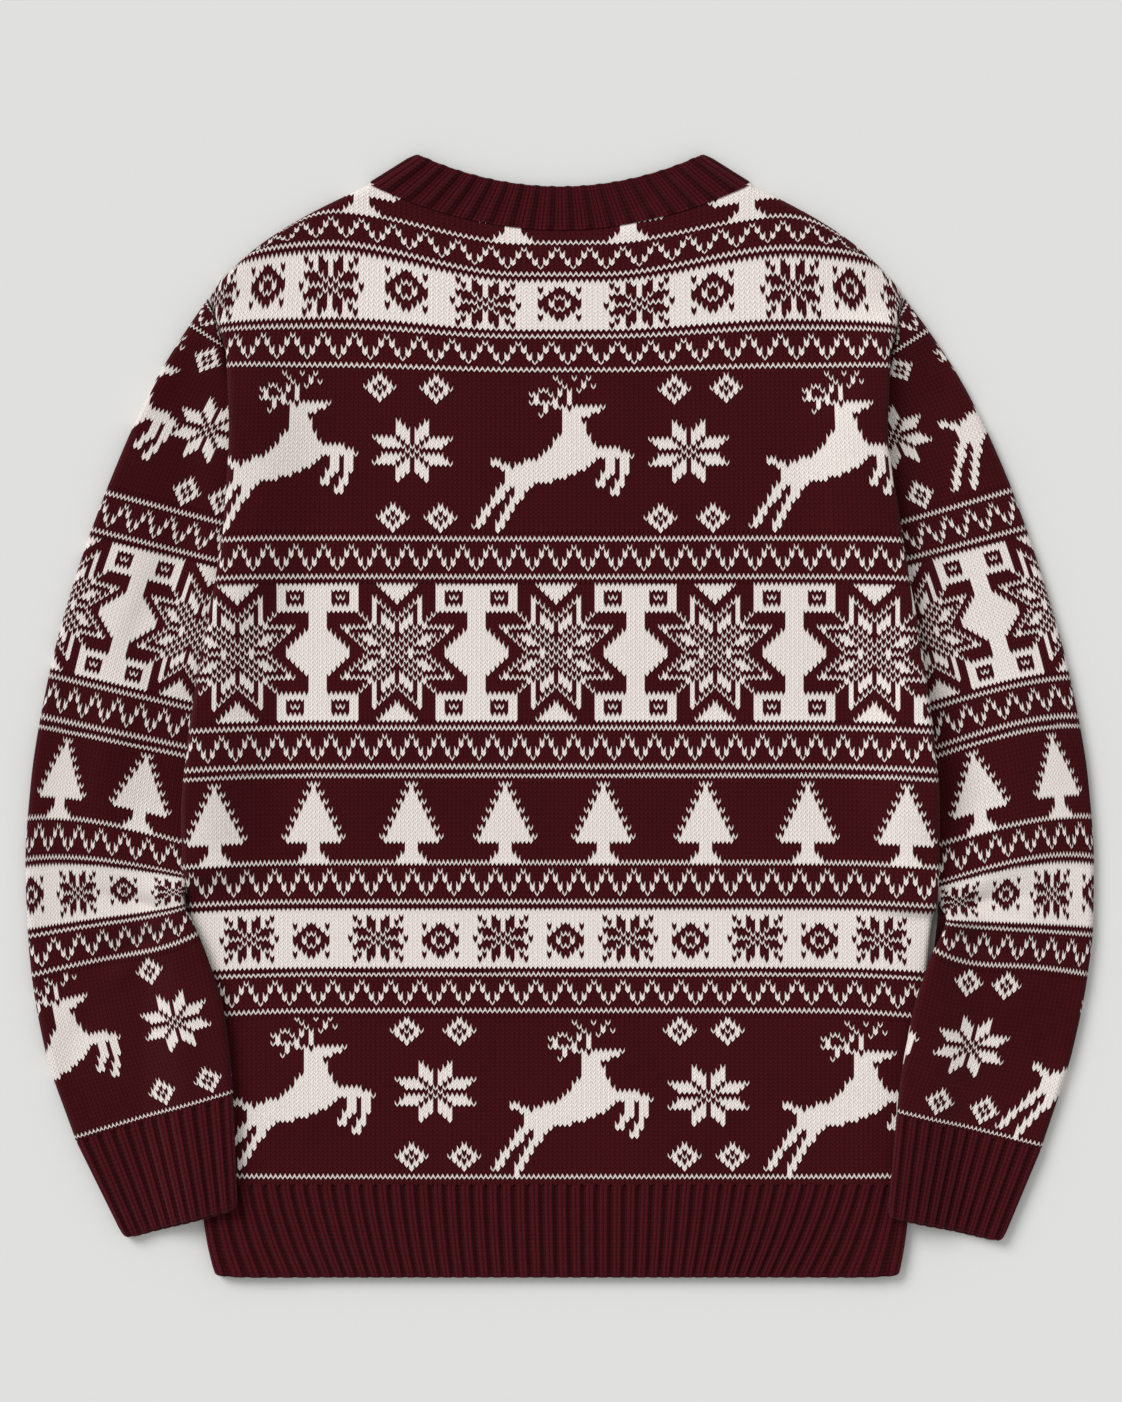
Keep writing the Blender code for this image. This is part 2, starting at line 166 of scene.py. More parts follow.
# Courses of the body: the height of each at the centre line, how far it rises towards
# the shoulders and how far it droops at the sides.
BODY_COURSES = (
    # course, height, rise, droop
    (-12, 683, 20.2, 36.5),
    (0, 653.5, 20.2, 36.5),
    (9, 633.7, 20.5, 6.3),
    (25, 594.4, 6.9, 1.9),
    (34, 573.5, 3.2, 0.6),
    (75, 467, 0.6, 1),
    (84, 443.2, 0.2, 0.8),
    (120, 348, 0, 0.6),
    (129, 323.8, 0, 0.6),
    (131, 318.1, 0, 0.6),
    (151, 263.2, 0, 0.6),
    (160, 238.4, 0, 0.6),
    (178, 192.8, 0, 0.8),
    (187, 169.9, 0, 1.2),
    (228, 65.2, 0, -0.6),
    (230, 59.6, 0, 0),
)
RISE_START, RISE_END = 25, 148
RIGHT_RISE = 0.86  # share of the rise at the right shoulder
DROOP_START, DROOP_REACH, MOST_DROOP = 126, 69, 12

# Courses of the sleeves: heights on the outer and the inner edge, a bow up near the
# outer edge and a dip near the inner one.
SLEEVE_COURSES = (
    # course, then left and right: outer_height, inner_height, bow, dip
    (22, (617, 613, 0, 0), (617, 613, 0, 0)),
    (25, (615.9, 607, 0, 0), (616.1, 607, 0, 0)),
    (34, (602.1, 588.2, 0, 0), (598.6, 583.6, 0, 0)),
    (75, (496.2, 473.1, 0, 0), (497.8, 473.2, 0, 0)),
    (84, (473, 450.1, 0, 0), (474.2, 451, 0, 0)),
    (120, (381.4, 358.4, 0, 0), (379.7, 358.1, 2.8, 0)),
    (129, (355.8, 333.6, 0, 0), (355.5, 331.7, 5, 0)),
    (131, (349.4, 328.1, 0, 0), (349.2, 326.4, 5, 0)),
    (151, (291.1, 273.6, 5, 0), (292.2, 272, 4.6, 0)),
    (160, (264.9, 254.4, 4.8, 0), (266.7, 249.1, 6.3, 0)),
    (178, (216.7, 234.8, 0, 1.5), (217.9, 224.8, 0, 0.5)),
    (187, (192.1, 218.9, 0, 3.5), (192.9, 208.9, 0, 5)),
    (228, (89.6, 119.4, 0.4, 0), (84.8, 107.4, 0, 0)),
    (229, (87.1, 116.8, 0, 0), (82.1, 104.6, 0, 0)),
)

# From a sleeve's outer fold inwards its stitches' width changes over this distance
SLEEVE_PITCH_EASE = 66.0
# How much wales at the body's side edges are squeezed: course, share
EDGE_SQUEEZE = ((17, 0.56), (29, 0.27), (84, 0.03))
EDGE_SQUEEZE_REACH = 44.0

# Creases: x, height, angle, length, width and depth, which is negative in a trough.
BACK_CREASES = (
    (-215, 245, 8, 70, 9, -1.6),
    (-190, 262, 22, 62, 11, 1),
    (214, 236, -6, 74, 9, -1.8),
    (188, 256, -20, 66, 11, 1.1),
    (-190, 415, 62, 80, 13, -0.9),
    (193, 420, -60, 86, 13, -1),
    (-60, 96, 78, 60, 20, 0.7),
    (70, 110, 97, 84, 22, -0.7),
    (-20, 560, 12, 120, 24, -0.6),
)
SLEEVE_CREASES = (
    # as on the right sleeve, and mirrored on the left one
    (262, 236, 14, 58, 6, -3.2),
    (266, 224, -3, 66, 6.5, 2.6),
    (262, 212, -20, 60, 6, -3),
    (268, 252, 30, 52, 8, 2),
    (272, 196, -38, 56, 9, 2.2),
    (300, 160, -66, 70, 12, -1.6),
    (262, 420, -64, 90, 12, -1.4),
    (286, 330, -80, 80, 14, 1.5),
)


# ---- curves


def lerp(start, end, share):
    return start + (end - start) * share


def ease(share):
    """0 to 1 with level ends."""
    share = np.clip(share, 0.0, 1.0)
    return share * share * (3 - 2 * share)


class Curve:
    """A smooth curve with no overshoot through values at rising places."""

    def __init__(self, places, values):
        self.places = np.array(places, float)
        self.values = np.array(values, float)
        slopes = np.diff(self.values) / np.diff(self.places)
        before, after = slopes[:-1], slopes[1:]
        steady = before * after > 0
        total = np.where(steady, before + after, 1.0)
        inner = np.where(steady, 2 * before * after / total, 0.0)
        self.slopes = np.concatenate((slopes[:1], inner, slopes[-1:]))

    def __call__(self, place):
        place = np.asarray(place, float)
        index = np.searchsorted(self.places, place, side="right") - 1
        index = np.clip(index, 0, len(self.places) - 2)
        step = self.places[index + 1] - self.places[index]
        share = np.clip((place - self.places[index]) / step, 0.0, 1.0)
        cube, square = share**3, share**2
        return (
            self.values[index] * (2 * cube - 3 * square + 1)
            + self.slopes[index] * step * (cube - 2 * square + share)
            + self.values[index + 1] * (3 * square - 2 * cube)
            + self.slopes[index + 1] * step * (cube - square)
        )


# ---- the garment's form


OUTER_STEPS = 400  # points along a sleeve's outer edge


class Side:
    """One side of the garment: -1 is the left of the plan, +1 the right."""

    def __init__(self, sign, rows, wrist):
        self.sign, self.wrist = sign, wrist
        own = (sign + 1) // 2
        sections = [row[own] for row in SLEEVES]
        self.courses = np.array([(row[0], *row[1 + own]) for row in SLEEVE_COURSES]).T
        self.seam = sections[-1]
        heights = [row[0] for row in rows]
        self.edge_curve = Curve(heights, [row[1] for row in rows])
        self.overlap = Curve(heights, [row[2] for row in rows])
        self.stack = Order(*(Curve(heights, [row[3][i] for row in rows]) for i in range(4)))
        fine = np.linspace(0.0, len(sections) - 1, OUTER_STEPS)
        self.outer_xs, self.outer_heights = (
            Curve(range(len(sections)), [row[i] for row in sections])(fine)[::-1] for i in (0, 1)
        )

    def edge(self, height):
        return self.sign * self.edge_curve(height)

    def sleeve_edge(self, height):
        """The sleeve's inner edge, and above the underarm its armhole edge."""
        return self.edge(height) - self.sign * self.overlap(height)

    def outer_edge(self, height):
        return self.sign * np.interp(height, self.outer_heights, self.outer_xs)

    def inside(self, x, height):
        """How far a point lies inside the body's side edge."""
        return self.sign * (self.edge(height) - x)

    def body_share(self, x, height, reach):
        start = np.maximum(0.0, self.overlap(height)) + RAMP_MARGIN
        return 1 - ease((self.inside(x, height) - start) / reach)

    def sleeve_base(self, x, height):
        share = 1 - ease((-self.inside(x, height) - RAMP_MARGIN) / SLEEVE_RAMP)
        return self.stack.sleeve_lift(height) * share


LEFT = Side(-1, LEFT_SIDE, LEFT_WRIST)
RIGHT = Side(1, RIGHT_SIDE, RIGHT_WRIST)


def by_side(x, value):
    return np.where(x < 0, value(LEFT), value(RIGHT))


def body_base(x, height):
    return by_side(
        x, lambda side: side.stack.front_lift(height) * side.body_share(x, height, FRONT_RAMP)
    )


def body_top(x, height):
    return middle_top(x, height) + by_side(
        x,
        lambda side: (side.stack.back_top(height) - FLAT) * side.body_share(x, height, BACK_RAMP),
    )


def middle_top(x, height):
    front_edge = neck_line(x, NECK_FREE_HALF_WIDTH, LENGTH, FRONT_FREE_DROP)
    past_edge = height - front_edge - NECK_SAG_START
    return FLAT - NECK_SAG * ease(past_edge / NECK_SAG_REACH)


def neck_line(x, half_width, corner, drop):
    return corner - drop * (1 - (x / half_width) ** 2)


def shoulder_line(x):
    tip = by_side(x, lambda side: side.edge_curve(SHOULDER_TIP))
    share = np.clip((tip - np.abs(x)) / (tip - NECK_HALF_WIDTH), 0.0, 1.0)
    rounding = SHOULDER_ROUNDING * np.sin(math.pi * share**SHOULDER_LEAN)
    return lerp(SHOULDER_TIP, NECK_CORNER, share + rounding)


def sleeve_thickness(depth):
    return FOLD - (FOLD - FLAT) * ease(depth / FOLD_EASE)


def roll(depth, radius, lowest):
    """Cloth that reaches `depth` inside a folded edge in plan, rolled round the fold.
    Gives its depth after rolling, and its rise from the middle of the fold to its top."""
    arc = np.clip(depth - radius + radius * math.pi / 2, lowest * radius, None)
    turn = np.minimum(arc / radius, math.pi / 2)
    rolled = np.where(depth < radius, radius * (1 - np.cos(turn)), depth)
    return rolled, np.sin(turn)


CREASE_BEND = 0.0022  # creases are never quite straight
CREASE_SPREAD = 0.7, 1.2  # of a crease's width, at its middle and its ends
CREASE_FADE = 12.0  # creases fade over this distance towards a fold
LEAST_HEIGHT = 0.15  # of the cloth over the floor


def crease_depth(creases, x, height, sign=1):
    total = np.zeros(np.broadcast(x, height).shape)
    for middle, up_garment, angle, length, width, depth in creases:
        turn = math.radians(angle)
        across, up = sign * x - middle, height - up_garment
        along = across * math.cos(turn) + up * math.sin(turn)
        aside = up * math.cos(turn) - across * math.sin(turn) + CREASE_BEND * along**2
        share = np.clip(np.abs(along) / length, 0.0, 1.0)
        spread = width * lerp(*CREASE_SPREAD, share)
        total += depth * np.exp(-((aside / spread) ** 2)) * (1 - ease(share))
    return total


def creased(x, height, z, face, creases, depth):
    """Points with creases, which only rise on a layer's underside."""
    z = z + (creases if face > 0 else np.abs(creases)) * ease(depth / CREASE_FADE)
    return np.stack((x, height, np.maximum(z, LEAST_HEIGHT)), -1)


# ---- charts

LIGHT, DARK, KEEP = 1, 0, -1


def chart(lines, mark):
    """A chart from lines of text, where # is one yarn and a dot leaves the ground."""
    return np.array([[mark if char == "#" else KEEP for char in line] for line in lines])


def mirrored(lines):
    """The upper half of a chart with its middle line, followed by its reflection."""
    return list(lines) + list(lines[-2::-1])


def lattice(half_width, half_height):
    """The rows and the columns of a motif's stitches, counted from its centre."""
    return np.mgrid[-half_height : half_height + 1, -half_width : half_width + 1]


def light(mask):
    return np.where(mask, LIGHT, KEEP)


FLOWER_LINES = ("#..##..#", "..####..", ".##..##.", "##.##.##")
FLAKE_LINES = (
    ".#..#...#..#.",
    "..#.##.##.#..",
    "....##.##....",
    ".###.#.#.###.",
    "..###.#.###..",
    "#....#.#....#",
)
ZIGZAG_LINES = ("#.....", ".#...#", ".#...#", "..#.#.", "..#.#.", "...#..")
VALLEY = 3  # the column of the zigzag's lowest stitch


def flower():
    return chart(FLOWER_LINES + FLOWER_LINES[::-1], DARK)


def flake():
    return chart(mirrored(FLAKE_LINES), DARK)


def diamond():
    rows, columns = lattice(3, 3)
    ring = np.abs(rows) + np.abs(columns)
    return light((ring == 0) | (ring == 2) | (ring == 3))


def small_star():
    rows, columns = np.abs(lattice(8, 7))
    petals = (rows >= 1) & (rows <= 3) & (columns > rows) & (columns <= rows + 5)
    petals |= (columns >= 1) & (columns <= 3) & (rows > columns) & (rows <= columns + 4)
    return light(petals | (rows + columns == 1))


def big_star():
    rows, columns = lattice(12, 16)
    a, b = np.abs(columns), np.abs(rows)
    mask = ((columns + rows) % 2 == 0) & (np.abs(a - b) <= 2) & (np.maximum(a, b) <= 6)
    mask |= (a >= 1) & (a <= 3) & (b >= a + 4) & (b <= a + 6)
    mask |= (a <= 4) & (b == 8 + a)
    mask |= (a == 5) & (b >= 7) & (b <= 13)
    mask |= (b == 0) & (a >= 2) & (a <= 6)
    mask |= (b >= 2) & (b <= 4) & (a >= b + 2) & (a <= b + 4)
    mask |= (b <= 5) & (a == 6 + b) & (b >= 1)
    mask |= (b == 6) & (a >= 6) & (a <= 12)
    mask |= (a >= 6) & (a <= 8) & (b == a + 1)
    mask |= a <= b - 12
    return light(mask)


def block():
    """Two bars with small squares, joined by a star on a neck."""
    rows = np.arange(-16, 17)[:, None]
    columns = np.arange(-9, 9)[None, :]
    from_middle = np.abs(rows)
    half_width = np.select(
        [from_middle <= 1, from_middle <= 5, from_middle <= 9],
        [7, 8 - from_middle, 2],
        9,
    )
    aside = np.where(columns < 0, -1 - columns, columns)
    mask = aside < half_width
    square = (aside >= 3) & (aside <= 6) & (from_middle >= 12) & (from_middle <= 14)
    bead = (aside >= 4) & (aside <= 5) & (from_middle == 13)
    return light(mask & ~(square & ~bead))


def tree():
    rows = []
    for tier in range(7):
        rows += [tier + 1, tier]
    rows += [1, 1, 2, 3]
    half_width = np.array(rows)[:, None]
    columns = np.abs(np.arange(-8, 9))[None, :]
    return light(columns <= half_width)


# Strokes of the reindeer, which leaps to the right: column, row and half the thickness at
# one end and at the other, in stitches, counted from the upper left of the motif.
REINDEER = (
    (8.6, 23.6, 2.3, 15.5, 21.8, 3.2),  # body
    (15.5, 21.8, 3.2, 22.0, 18.6, 3.4),
    (16.5, 19.8, 2.6, 20.8, 13.4, 2.2),
    (22.4, 17.2, 3.0, 20.3, 9.8, 2.4),  # neck
    (20.3, 8.3, 2.1, 26.2, 7.2, 0.9),  # head
    (24.6, 18.6, 1.6, 28.6, 17.6, 1.3),  # front legs
    (28.6, 17.6, 1.3, 32.0, 18.8, 1.1),
    (32.0, 18.8, 1.1, 31.8, 22.2, 0.9),
    (31.8, 22.2, 0.9, 29.4, 27.6, 0.8),
    (29.0, 18.4, 1.0, 28.2, 22.6, 1.0),
    (28.2, 22.6, 1.0, 26.4, 25.6, 0.9),
    (7.4, 25.4, 1.4, 4.4, 29.4, 0.9),  # hind legs
    (4.4, 29.4, 0.9, 0.6, 36.2, 0.8),
    (10.8, 25.8, 1.4, 7.8, 30.8, 0.9),
    (7.8, 30.8, 0.9, 4.8, 37.0, 0.8),
    (3.6, 20.0, 0.6, 7.0, 21.8, 1.0),  # tail
)
REINDEER_EYE = (7, 20)  # row and column
ANTLERS_PLACE = (0, 12)
ANTLER_LINES = (
    ".....#...#..#.",
    "......#....#..",
    ".......#...#.#",
    "..##..#.#.#...",
    "##..#.#.#.....",
    ".#...#..#.....",
    "######..#.....",
    "...#.##.......",
    "...#..........",
    "..#...........",
)
ROW_PER_WALE = 0.86  # a stitch's height over its width
STROKE_SHARE = 0.95  # of a stroke's thickness that is knitted
REINDEER_SIZE = 40, 34


def reindeer():
    rows, columns = np.indices(REINDEER_SIZE)
    mask = np.zeros(rows.shape, bool)
    for x, y, half, end_x, end_y, end_half in REINDEER:
        dx, dy = end_x - x, (end_y - y) * ROW_PER_WALE
        from_x, from_y = columns - x, (rows - y) * ROW_PER_WALE
        share = np.clip((from_x * dx + from_y * dy) / (dx * dx + dy * dy), 0, 1)
        distance = np.hypot(from_x - share * dx, from_y - share * dy)
        mask |= distance <= lerp(half, end_half, share) * STROKE_SHARE
    mask[REINDEER_EYE] = False
    deer = light(mask)
    stamp(deer, chart(ANTLER_LINES, LIGHT), *ANTLERS_PLACE)
    return deer


# ---- bands of courses


class Band:
    """A band of courses that share their wales.

    `width` is a stitch's width and `inner_width` that at a sleeve's inner edge. `shift` is
    where the middle of wale 0 lies: from the centre line, or from a sleeve's outer fold.
    A `tucked` band has one course more, which lies hidden under the band above it.
    """

    def __init__(self, first, last, width, inner_width=None, shift=0.0, tucked=True):
        self.first, self.last, self.width, self.shift = first, last, width, shift
        self.inner_width, self.tucked = inner_width or width, tucked
        self.steps = []

    def ground(self, first, last):
        self.steps.append(("fill", first, last, LIGHT))
        return self

    def line(self, course):
        return self.ground(course, course)

    def zigzag(self, course, valley):
        self.steps.append(("zigzag", course, valley, None))
        return self

    def border(self, course, valley):
        """A zigzag between two light lines, the first of which is `course`."""
        return self.line(course).zigzag(course + 2, valley).line(course + 9)

    def motifs(self, motif, course, *wales):
        """Motifs centred on a course and on wales."""
        for wale in wales:
            self.steps.append(("motif", course, wale, motif))
        return self

    def yarns(self, first_wale, count, flip=False):
        """The light and dark stitches: a row for each course and a column for each wale."""
        grid = np.full((self.last + 1 - self.first, count), DARK)
        for kind, course, at, what in self.steps:
            top = course - self.first
            if kind == "fill":
                grid[top : at + 1 - self.first] = what
            elif kind == "zigzag":
                repeat = chart(ZIGZAG_LINES, LIGHT)
                wales = first_wale + np.arange(count)
                stamp(grid, repeat[:, (wales - at + VALLEY) % repeat.shape[1]], top, 0)
            else:
                pattern = what[:, ::-1] if flip else what
                height, width = pattern.shape
                stamp(grid, pattern, top - height // 2, at - first_wale - width // 2)
        return grid


def stamp(grid, pattern, top, left):
    """Lays a chart on the grid, where it doesn't leave the ground."""
    rows, columns = np.nonzero(pattern != KEEP)
    values = pattern[rows, columns]
    rows, columns = rows + top, columns + left
    height, width = grid.shape
    inside = (rows >= 0) & (rows < height) & (columns >= 0) & (columns < width)
    grid[rows[inside], columns[inside]] = values[inside]


def body_bands():
    deer, star, spark, gem = reindeer(), big_star(), small_star(), diamond()
    yoke = Band(-12, 34, 3.5, shift=1.5, tucked=False)
    yoke.motifs(tree(), -9, -37, -9, 12, 34)
    yoke.border(0, 2).ground(11, 23).border(25, 1)
    yoke.motifs(flower(), 17, -56, -28, 0, 28, 56)
    yoke.motifs(flake(), 17, -70, -43, -14, 14, 43, 70)
    upper = Band(35, 73, 3.02)
    upper.motifs(deer, 56, -59, -1, 57).motifs(spark, 54, -31, 27)
    upper.motifs(gem, 39, -38, -26, 24, 35).motifs(gem, 70, -35, -25, 21, 32)
    first = Band(74, 85, 2.93).border(75, 0)
    stars = Band(86, 118, 2.865, shift=-2.5)
    stars.motifs(star, 102, -70, -35, 0, 35, 70).motifs(block(), 102, -52, -17, 18, 53, 88)
    second = Band(119, 130, 2.835).border(120, 0)
    trees = Band(131, 151, 2.688, shift=0.4)
    trees.line(131).motifs(tree(), 142, -81, -58, -35, -13, 10, 34, 58, 81).line(151)
    third = Band(152, 161, 2.906).zigzag(153, 1).line(160)
    snow = Band(162, 177, 2.917, shift=2.0).ground(162, 176)
    snow.motifs(flake(), 169, -68, -40, -13, 14, 42, 69)
    snow.motifs(flower(), 170, -54, -26, 1, 28, 56)
    fourth = Band(178, 188, 3.05).border(178, 4)
    lower = Band(189, 230, 3.02).line(228)
    lower.motifs(deer, 209, -55).motifs(deer, 210, 3, 60)
    lower.motifs(spark, 207, -26).motifs(spark, 208, 31)
    lower.motifs(gem, 192, -32, -21, 25, 35).motifs(gem, 223, -31, -20, 26, 36)
    return [yoke, upper, first, stars, second, trees, third, snow, fourth, lower]


def sleeve_bands(side):
    """The bands of a sleeve, whose wales are counted from its outer fold inwards."""

    def pick(for_left, for_right):
        return for_left if side is LEFT else for_right

    deer, spark, gem = reindeer(), small_star(), diamond()
    crown = Band(22, 34, 2.5, tucked=False).border(25, 3)
    upper = Band(35, 73, 2.55)
    upper.motifs(deer, pick(57, 55), pick(-6, -2), pick(50, 54), pick(-62, -58))
    upper.motifs(spark, 55, pick(18, 22), -31).motifs(gem, 39, pick(9, 12))
    upper.motifs(gem, 70, *pick((19, 28), (22, 32)), -26, -36)
    first = Band(74, 85, 2.46).border(75, 4)
    stars = Band(86, 118, 2.58)
    stars.motifs(big_star(), 102, -34, -1, 32).motifs(block(), 102, -50, -17, 16, 49)
    second = Band(119, 130, 2.2, 2.45).border(120, pick(6, 3))
    trees = Band(131, 151, 1.87, 2.62)
    trees.line(131).motifs(tree(), 142, -53, -32, -10, 11, 32, 53).line(151)
    third = Band(152, 161, 1.95, 2.5).zigzag(153, 2).line(160)
    snow = Band(162, 177, 1.97, 2.2).ground(162, 176)
    snow.motifs(flower(), 169, *pick((-53, -25, 3, 31), (-55, -27, 1, 28)))
    snow.motifs(flake(), 169, *pick((-39, -11, 17, 45), (-41, -13, 14, 41)))
    fourth = Band(178, 188, pick(2.9, 2.0), pick(2.35, 2.5)).border(178, pick(3, 4))
    lower = Band(189, 229, pick(2.55, 2.7)).line(228)
    lower.motifs(deer, pick(208, 210), pick(3, -4), pick(61, 54), pick(-56, -60))
    lower.motifs(spark, pick(206, 208), pick(34, 24), -32)
    lower.motifs(gem, 192, *pick((30, -28), (28, 19, -24)))
    lower.motifs(gem, 223, *pick((25, 37, -30), (27, 16, -26)))
    return [crown, upper, first, stars, second, trees, third, snow, fourth, lower]


# ---- knitted meshes

FINE, PLAIN = 4, 2  # faces across a stitch, on layers that show and on those that don't
TUCKED = 1.1  # the course hidden under the band above lies this much lower
LAPPED = 0.3  # a band's last course lies this much proud of the next band


class Knit:
    """Collects bands of stitches and makes one mesh of them."""

    def __init__(self):
        self.count = 0
        self.points, self.faces, self.yarns = [], [], []
        self.uvs, self.phase, self.nips, self.courses = [], [], [], []

    def add(self, band, first_wale, yarns, surface, faces_across, flip):
        """surface(wale, line, lift) gives points and whether each lies on the piece."""
        lines = np.arange(band.first - band.tucked, band.last + 2) - 0.5
        lifts = np.zeros(len(lines))
        if band.tucked:
            yarns = np.vstack((np.full_like(yarns[:1], DARK), yarns))
            lifts[:2] = -TUCKED, -LAPPED
        lifts[-1] = LAPPED
        columns = np.arange(yarns.shape[1] * faces_across + 1) / faces_across
        wale_grid, line_grid = np.meshgrid(first_wale - 0.5 + columns, lines)
        points, on_piece = surface(wale_grid, line_grid, lifts[:, None])
        course_step = np.vstack((points[1:] - points[:-1], points[-1:] - points[-2:-1]))
        yarn_faces = np.repeat(yarns, faces_across, axis=1)
        number = self.count + np.arange(line_grid.size).reshape(line_grid.shape)
        corners = number[1:, :-1], number[1:, 1:], number[:-1, 1:], number[:-1, :-1]
        quads = np.stack(corners[::-1] if flip else corners, -1)
        shown = on_piece[1:, :-1] | on_piece[1:, 1:] | on_piece[:-1, 1:] | on_piece[:-1, :-1]
        phases = 1 - np.abs(2 * (columns % 1) - 1)
        self.faces.append(quads[shown])
        self.yarns.append(yarn_faces[shown])
        self.points.append(points.reshape(-1, 3))
        self.uvs.append(np.stack((wale_grid + 0.5, -line_grid), -1).reshape(-1, 2))
        self.phase.append(np.broadcast_to(phases, line_grid.shape).ravel())
        self.nips.append(nip(yarn_faces).ravel())
        self.courses.append(course_step.reshape(-1, 3))
        self.count += line_grid.size

    def object(self, name):
        points, faces = np.concatenate(self.points), np.concatenate(self.faces)
        used, faces = np.unique(faces, return_inverse=True)
        faces = faces.reshape(-1, 4)
        obj = plain_object(name, points[used], faces)
        put(obj, "light_yarn", np.concatenate(self.yarns), domain="FACE")
        put(obj, "stitch_phase", np.concatenate(self.phase)[used])
        put(obj, "thinned", np.concatenate(self.nips)[used])
        put(obj, "course_step", np.concatenate(self.courses)[used] * MM, kind="FLOAT_VECTOR")
        lay_uv(obj, np.concatenate(self.uvs)[used], faces)
        return obj


def nip(yarn_faces):
    """1 at points where a dark stitch sits over a light one, on either side of the point."""
    dark_line = np.full_like(yarn_faces[:1], DARK)
    above, below = np.vstack((dark_line, yarn_faces)), np.vstack((yarn_faces, dark_line))
    over_light = ((above == DARK) & (below == LIGHT)).astype(float)
    sides = (np.pad(over_light, ((0, 0), pad)) for pad in ((1, 0), (0, 1)))
    return np.maximum(*sides)


def new_object(name, data):
    obj = bpy.data.objects.new(name, data)
    bpy.context.scene.collection.objects.link(obj)
    return obj


def plain_object(name, points, faces):
    mesh = bpy.data.meshes.new(name)
    placed = np.asarray(points, float) - np.array((0.0, LENGTH / 2, 0.0))
    mesh.vertices.add(len(placed))
    mesh.vertices.foreach_set("co", (placed * MM).ravel())
    mesh.loops.add(faces.size)
    mesh.loops.foreach_set("vertex_index", faces.ravel())
    mesh.polygons.add(len(faces))
    mesh.polygons.foreach_set("loop_start", np.arange(0, faces.size, faces.shape[1]))
    mesh.update(calc_edges=True)
    mesh.validate()
    mesh.shade_smooth()
    return new_object(name, mesh)


def put(obj, name, values, kind="FLOAT", domain="POINT"):
    attribute = obj.data.attributes.new(name, kind, domain)
    key = "vector" if kind == "FLOAT_VECTOR" else "value"
    attribute.data.foreach_set(key, np.asarray(values, np.float32).ravel())


def lay_uv(obj, uvs, faces):
    layer = obj.data.uv_layers.new(name="stitches")
    layer.data.foreach_set("uv", uvs[faces.ravel()].astype(np.float32).ravel())


# ---- body panels


def squeezed_depth(reach_left, course):
    """How deep inside the side edge the cloth shows that would, unsqueezed, be
    `reach_left` inside it."""
    share = np.interp(course, *zip(*EDGE_SQUEEZE))
    unit = EDGE_SQUEEZE_REACH
    return unit * np.log(np.exp(reach_left / unit) + share)


# Courses lie nearer to each other at the last light line
TIGHT_COURSES = 225.5, 227.5, 228.5, 229.5
TIGHT_SHIFTS = 0.0, 0.05, -0.05, -0.18


def tightened(course):
    return course + np.interp(course, TIGHT_COURSES, TIGHT_SHIFTS)


def course_height(x, course):
    course = tightened(course)
    rows = np.array(BODY_COURSES).T
    height, rise, droop = (np.interp(course, rows[0], rows[i]) for i in (1, 2, 3))
    up = ease((np.abs(x) - RISE_START) / (RISE_END - RISE_START))
    down = (np.maximum(0.0, np.abs(x) - DROOP_START) / DROOP_REACH) ** 3
    rise = rise * np.where(x > 0, RIGHT_RISE, 1.0)
    return height + rise * up - np.minimum(droop * down, MOST_DROOP)


EDGE_LIP = 5.0  # radius of the body's edge where it lies on a sleeve
LOWEST_BACK, LOWEST_FRONT = -0.6, 0.0  # how far round the fold each panel goes
HUMP = 0.0, 1.0, 1.0, 0.0  # shares over four heights
BULGE_HEIGHTS = 270.0, 320.0, 550.0, 610.0  # where the back stands up beside its edge
BULGE = 6.5
BULGE_REACH = 60.0
NECK_TUCK = 2.0  # of the panel under the neckband
TUCK_START, TUCK_REACH, TUCK_DEPTH = 3.5, 3.0, 1.0
FAR = 99.0  # from an edge that a panel doesn't have there
BODY_REACH = 275.0  # of the unrolled cloth from the centre line


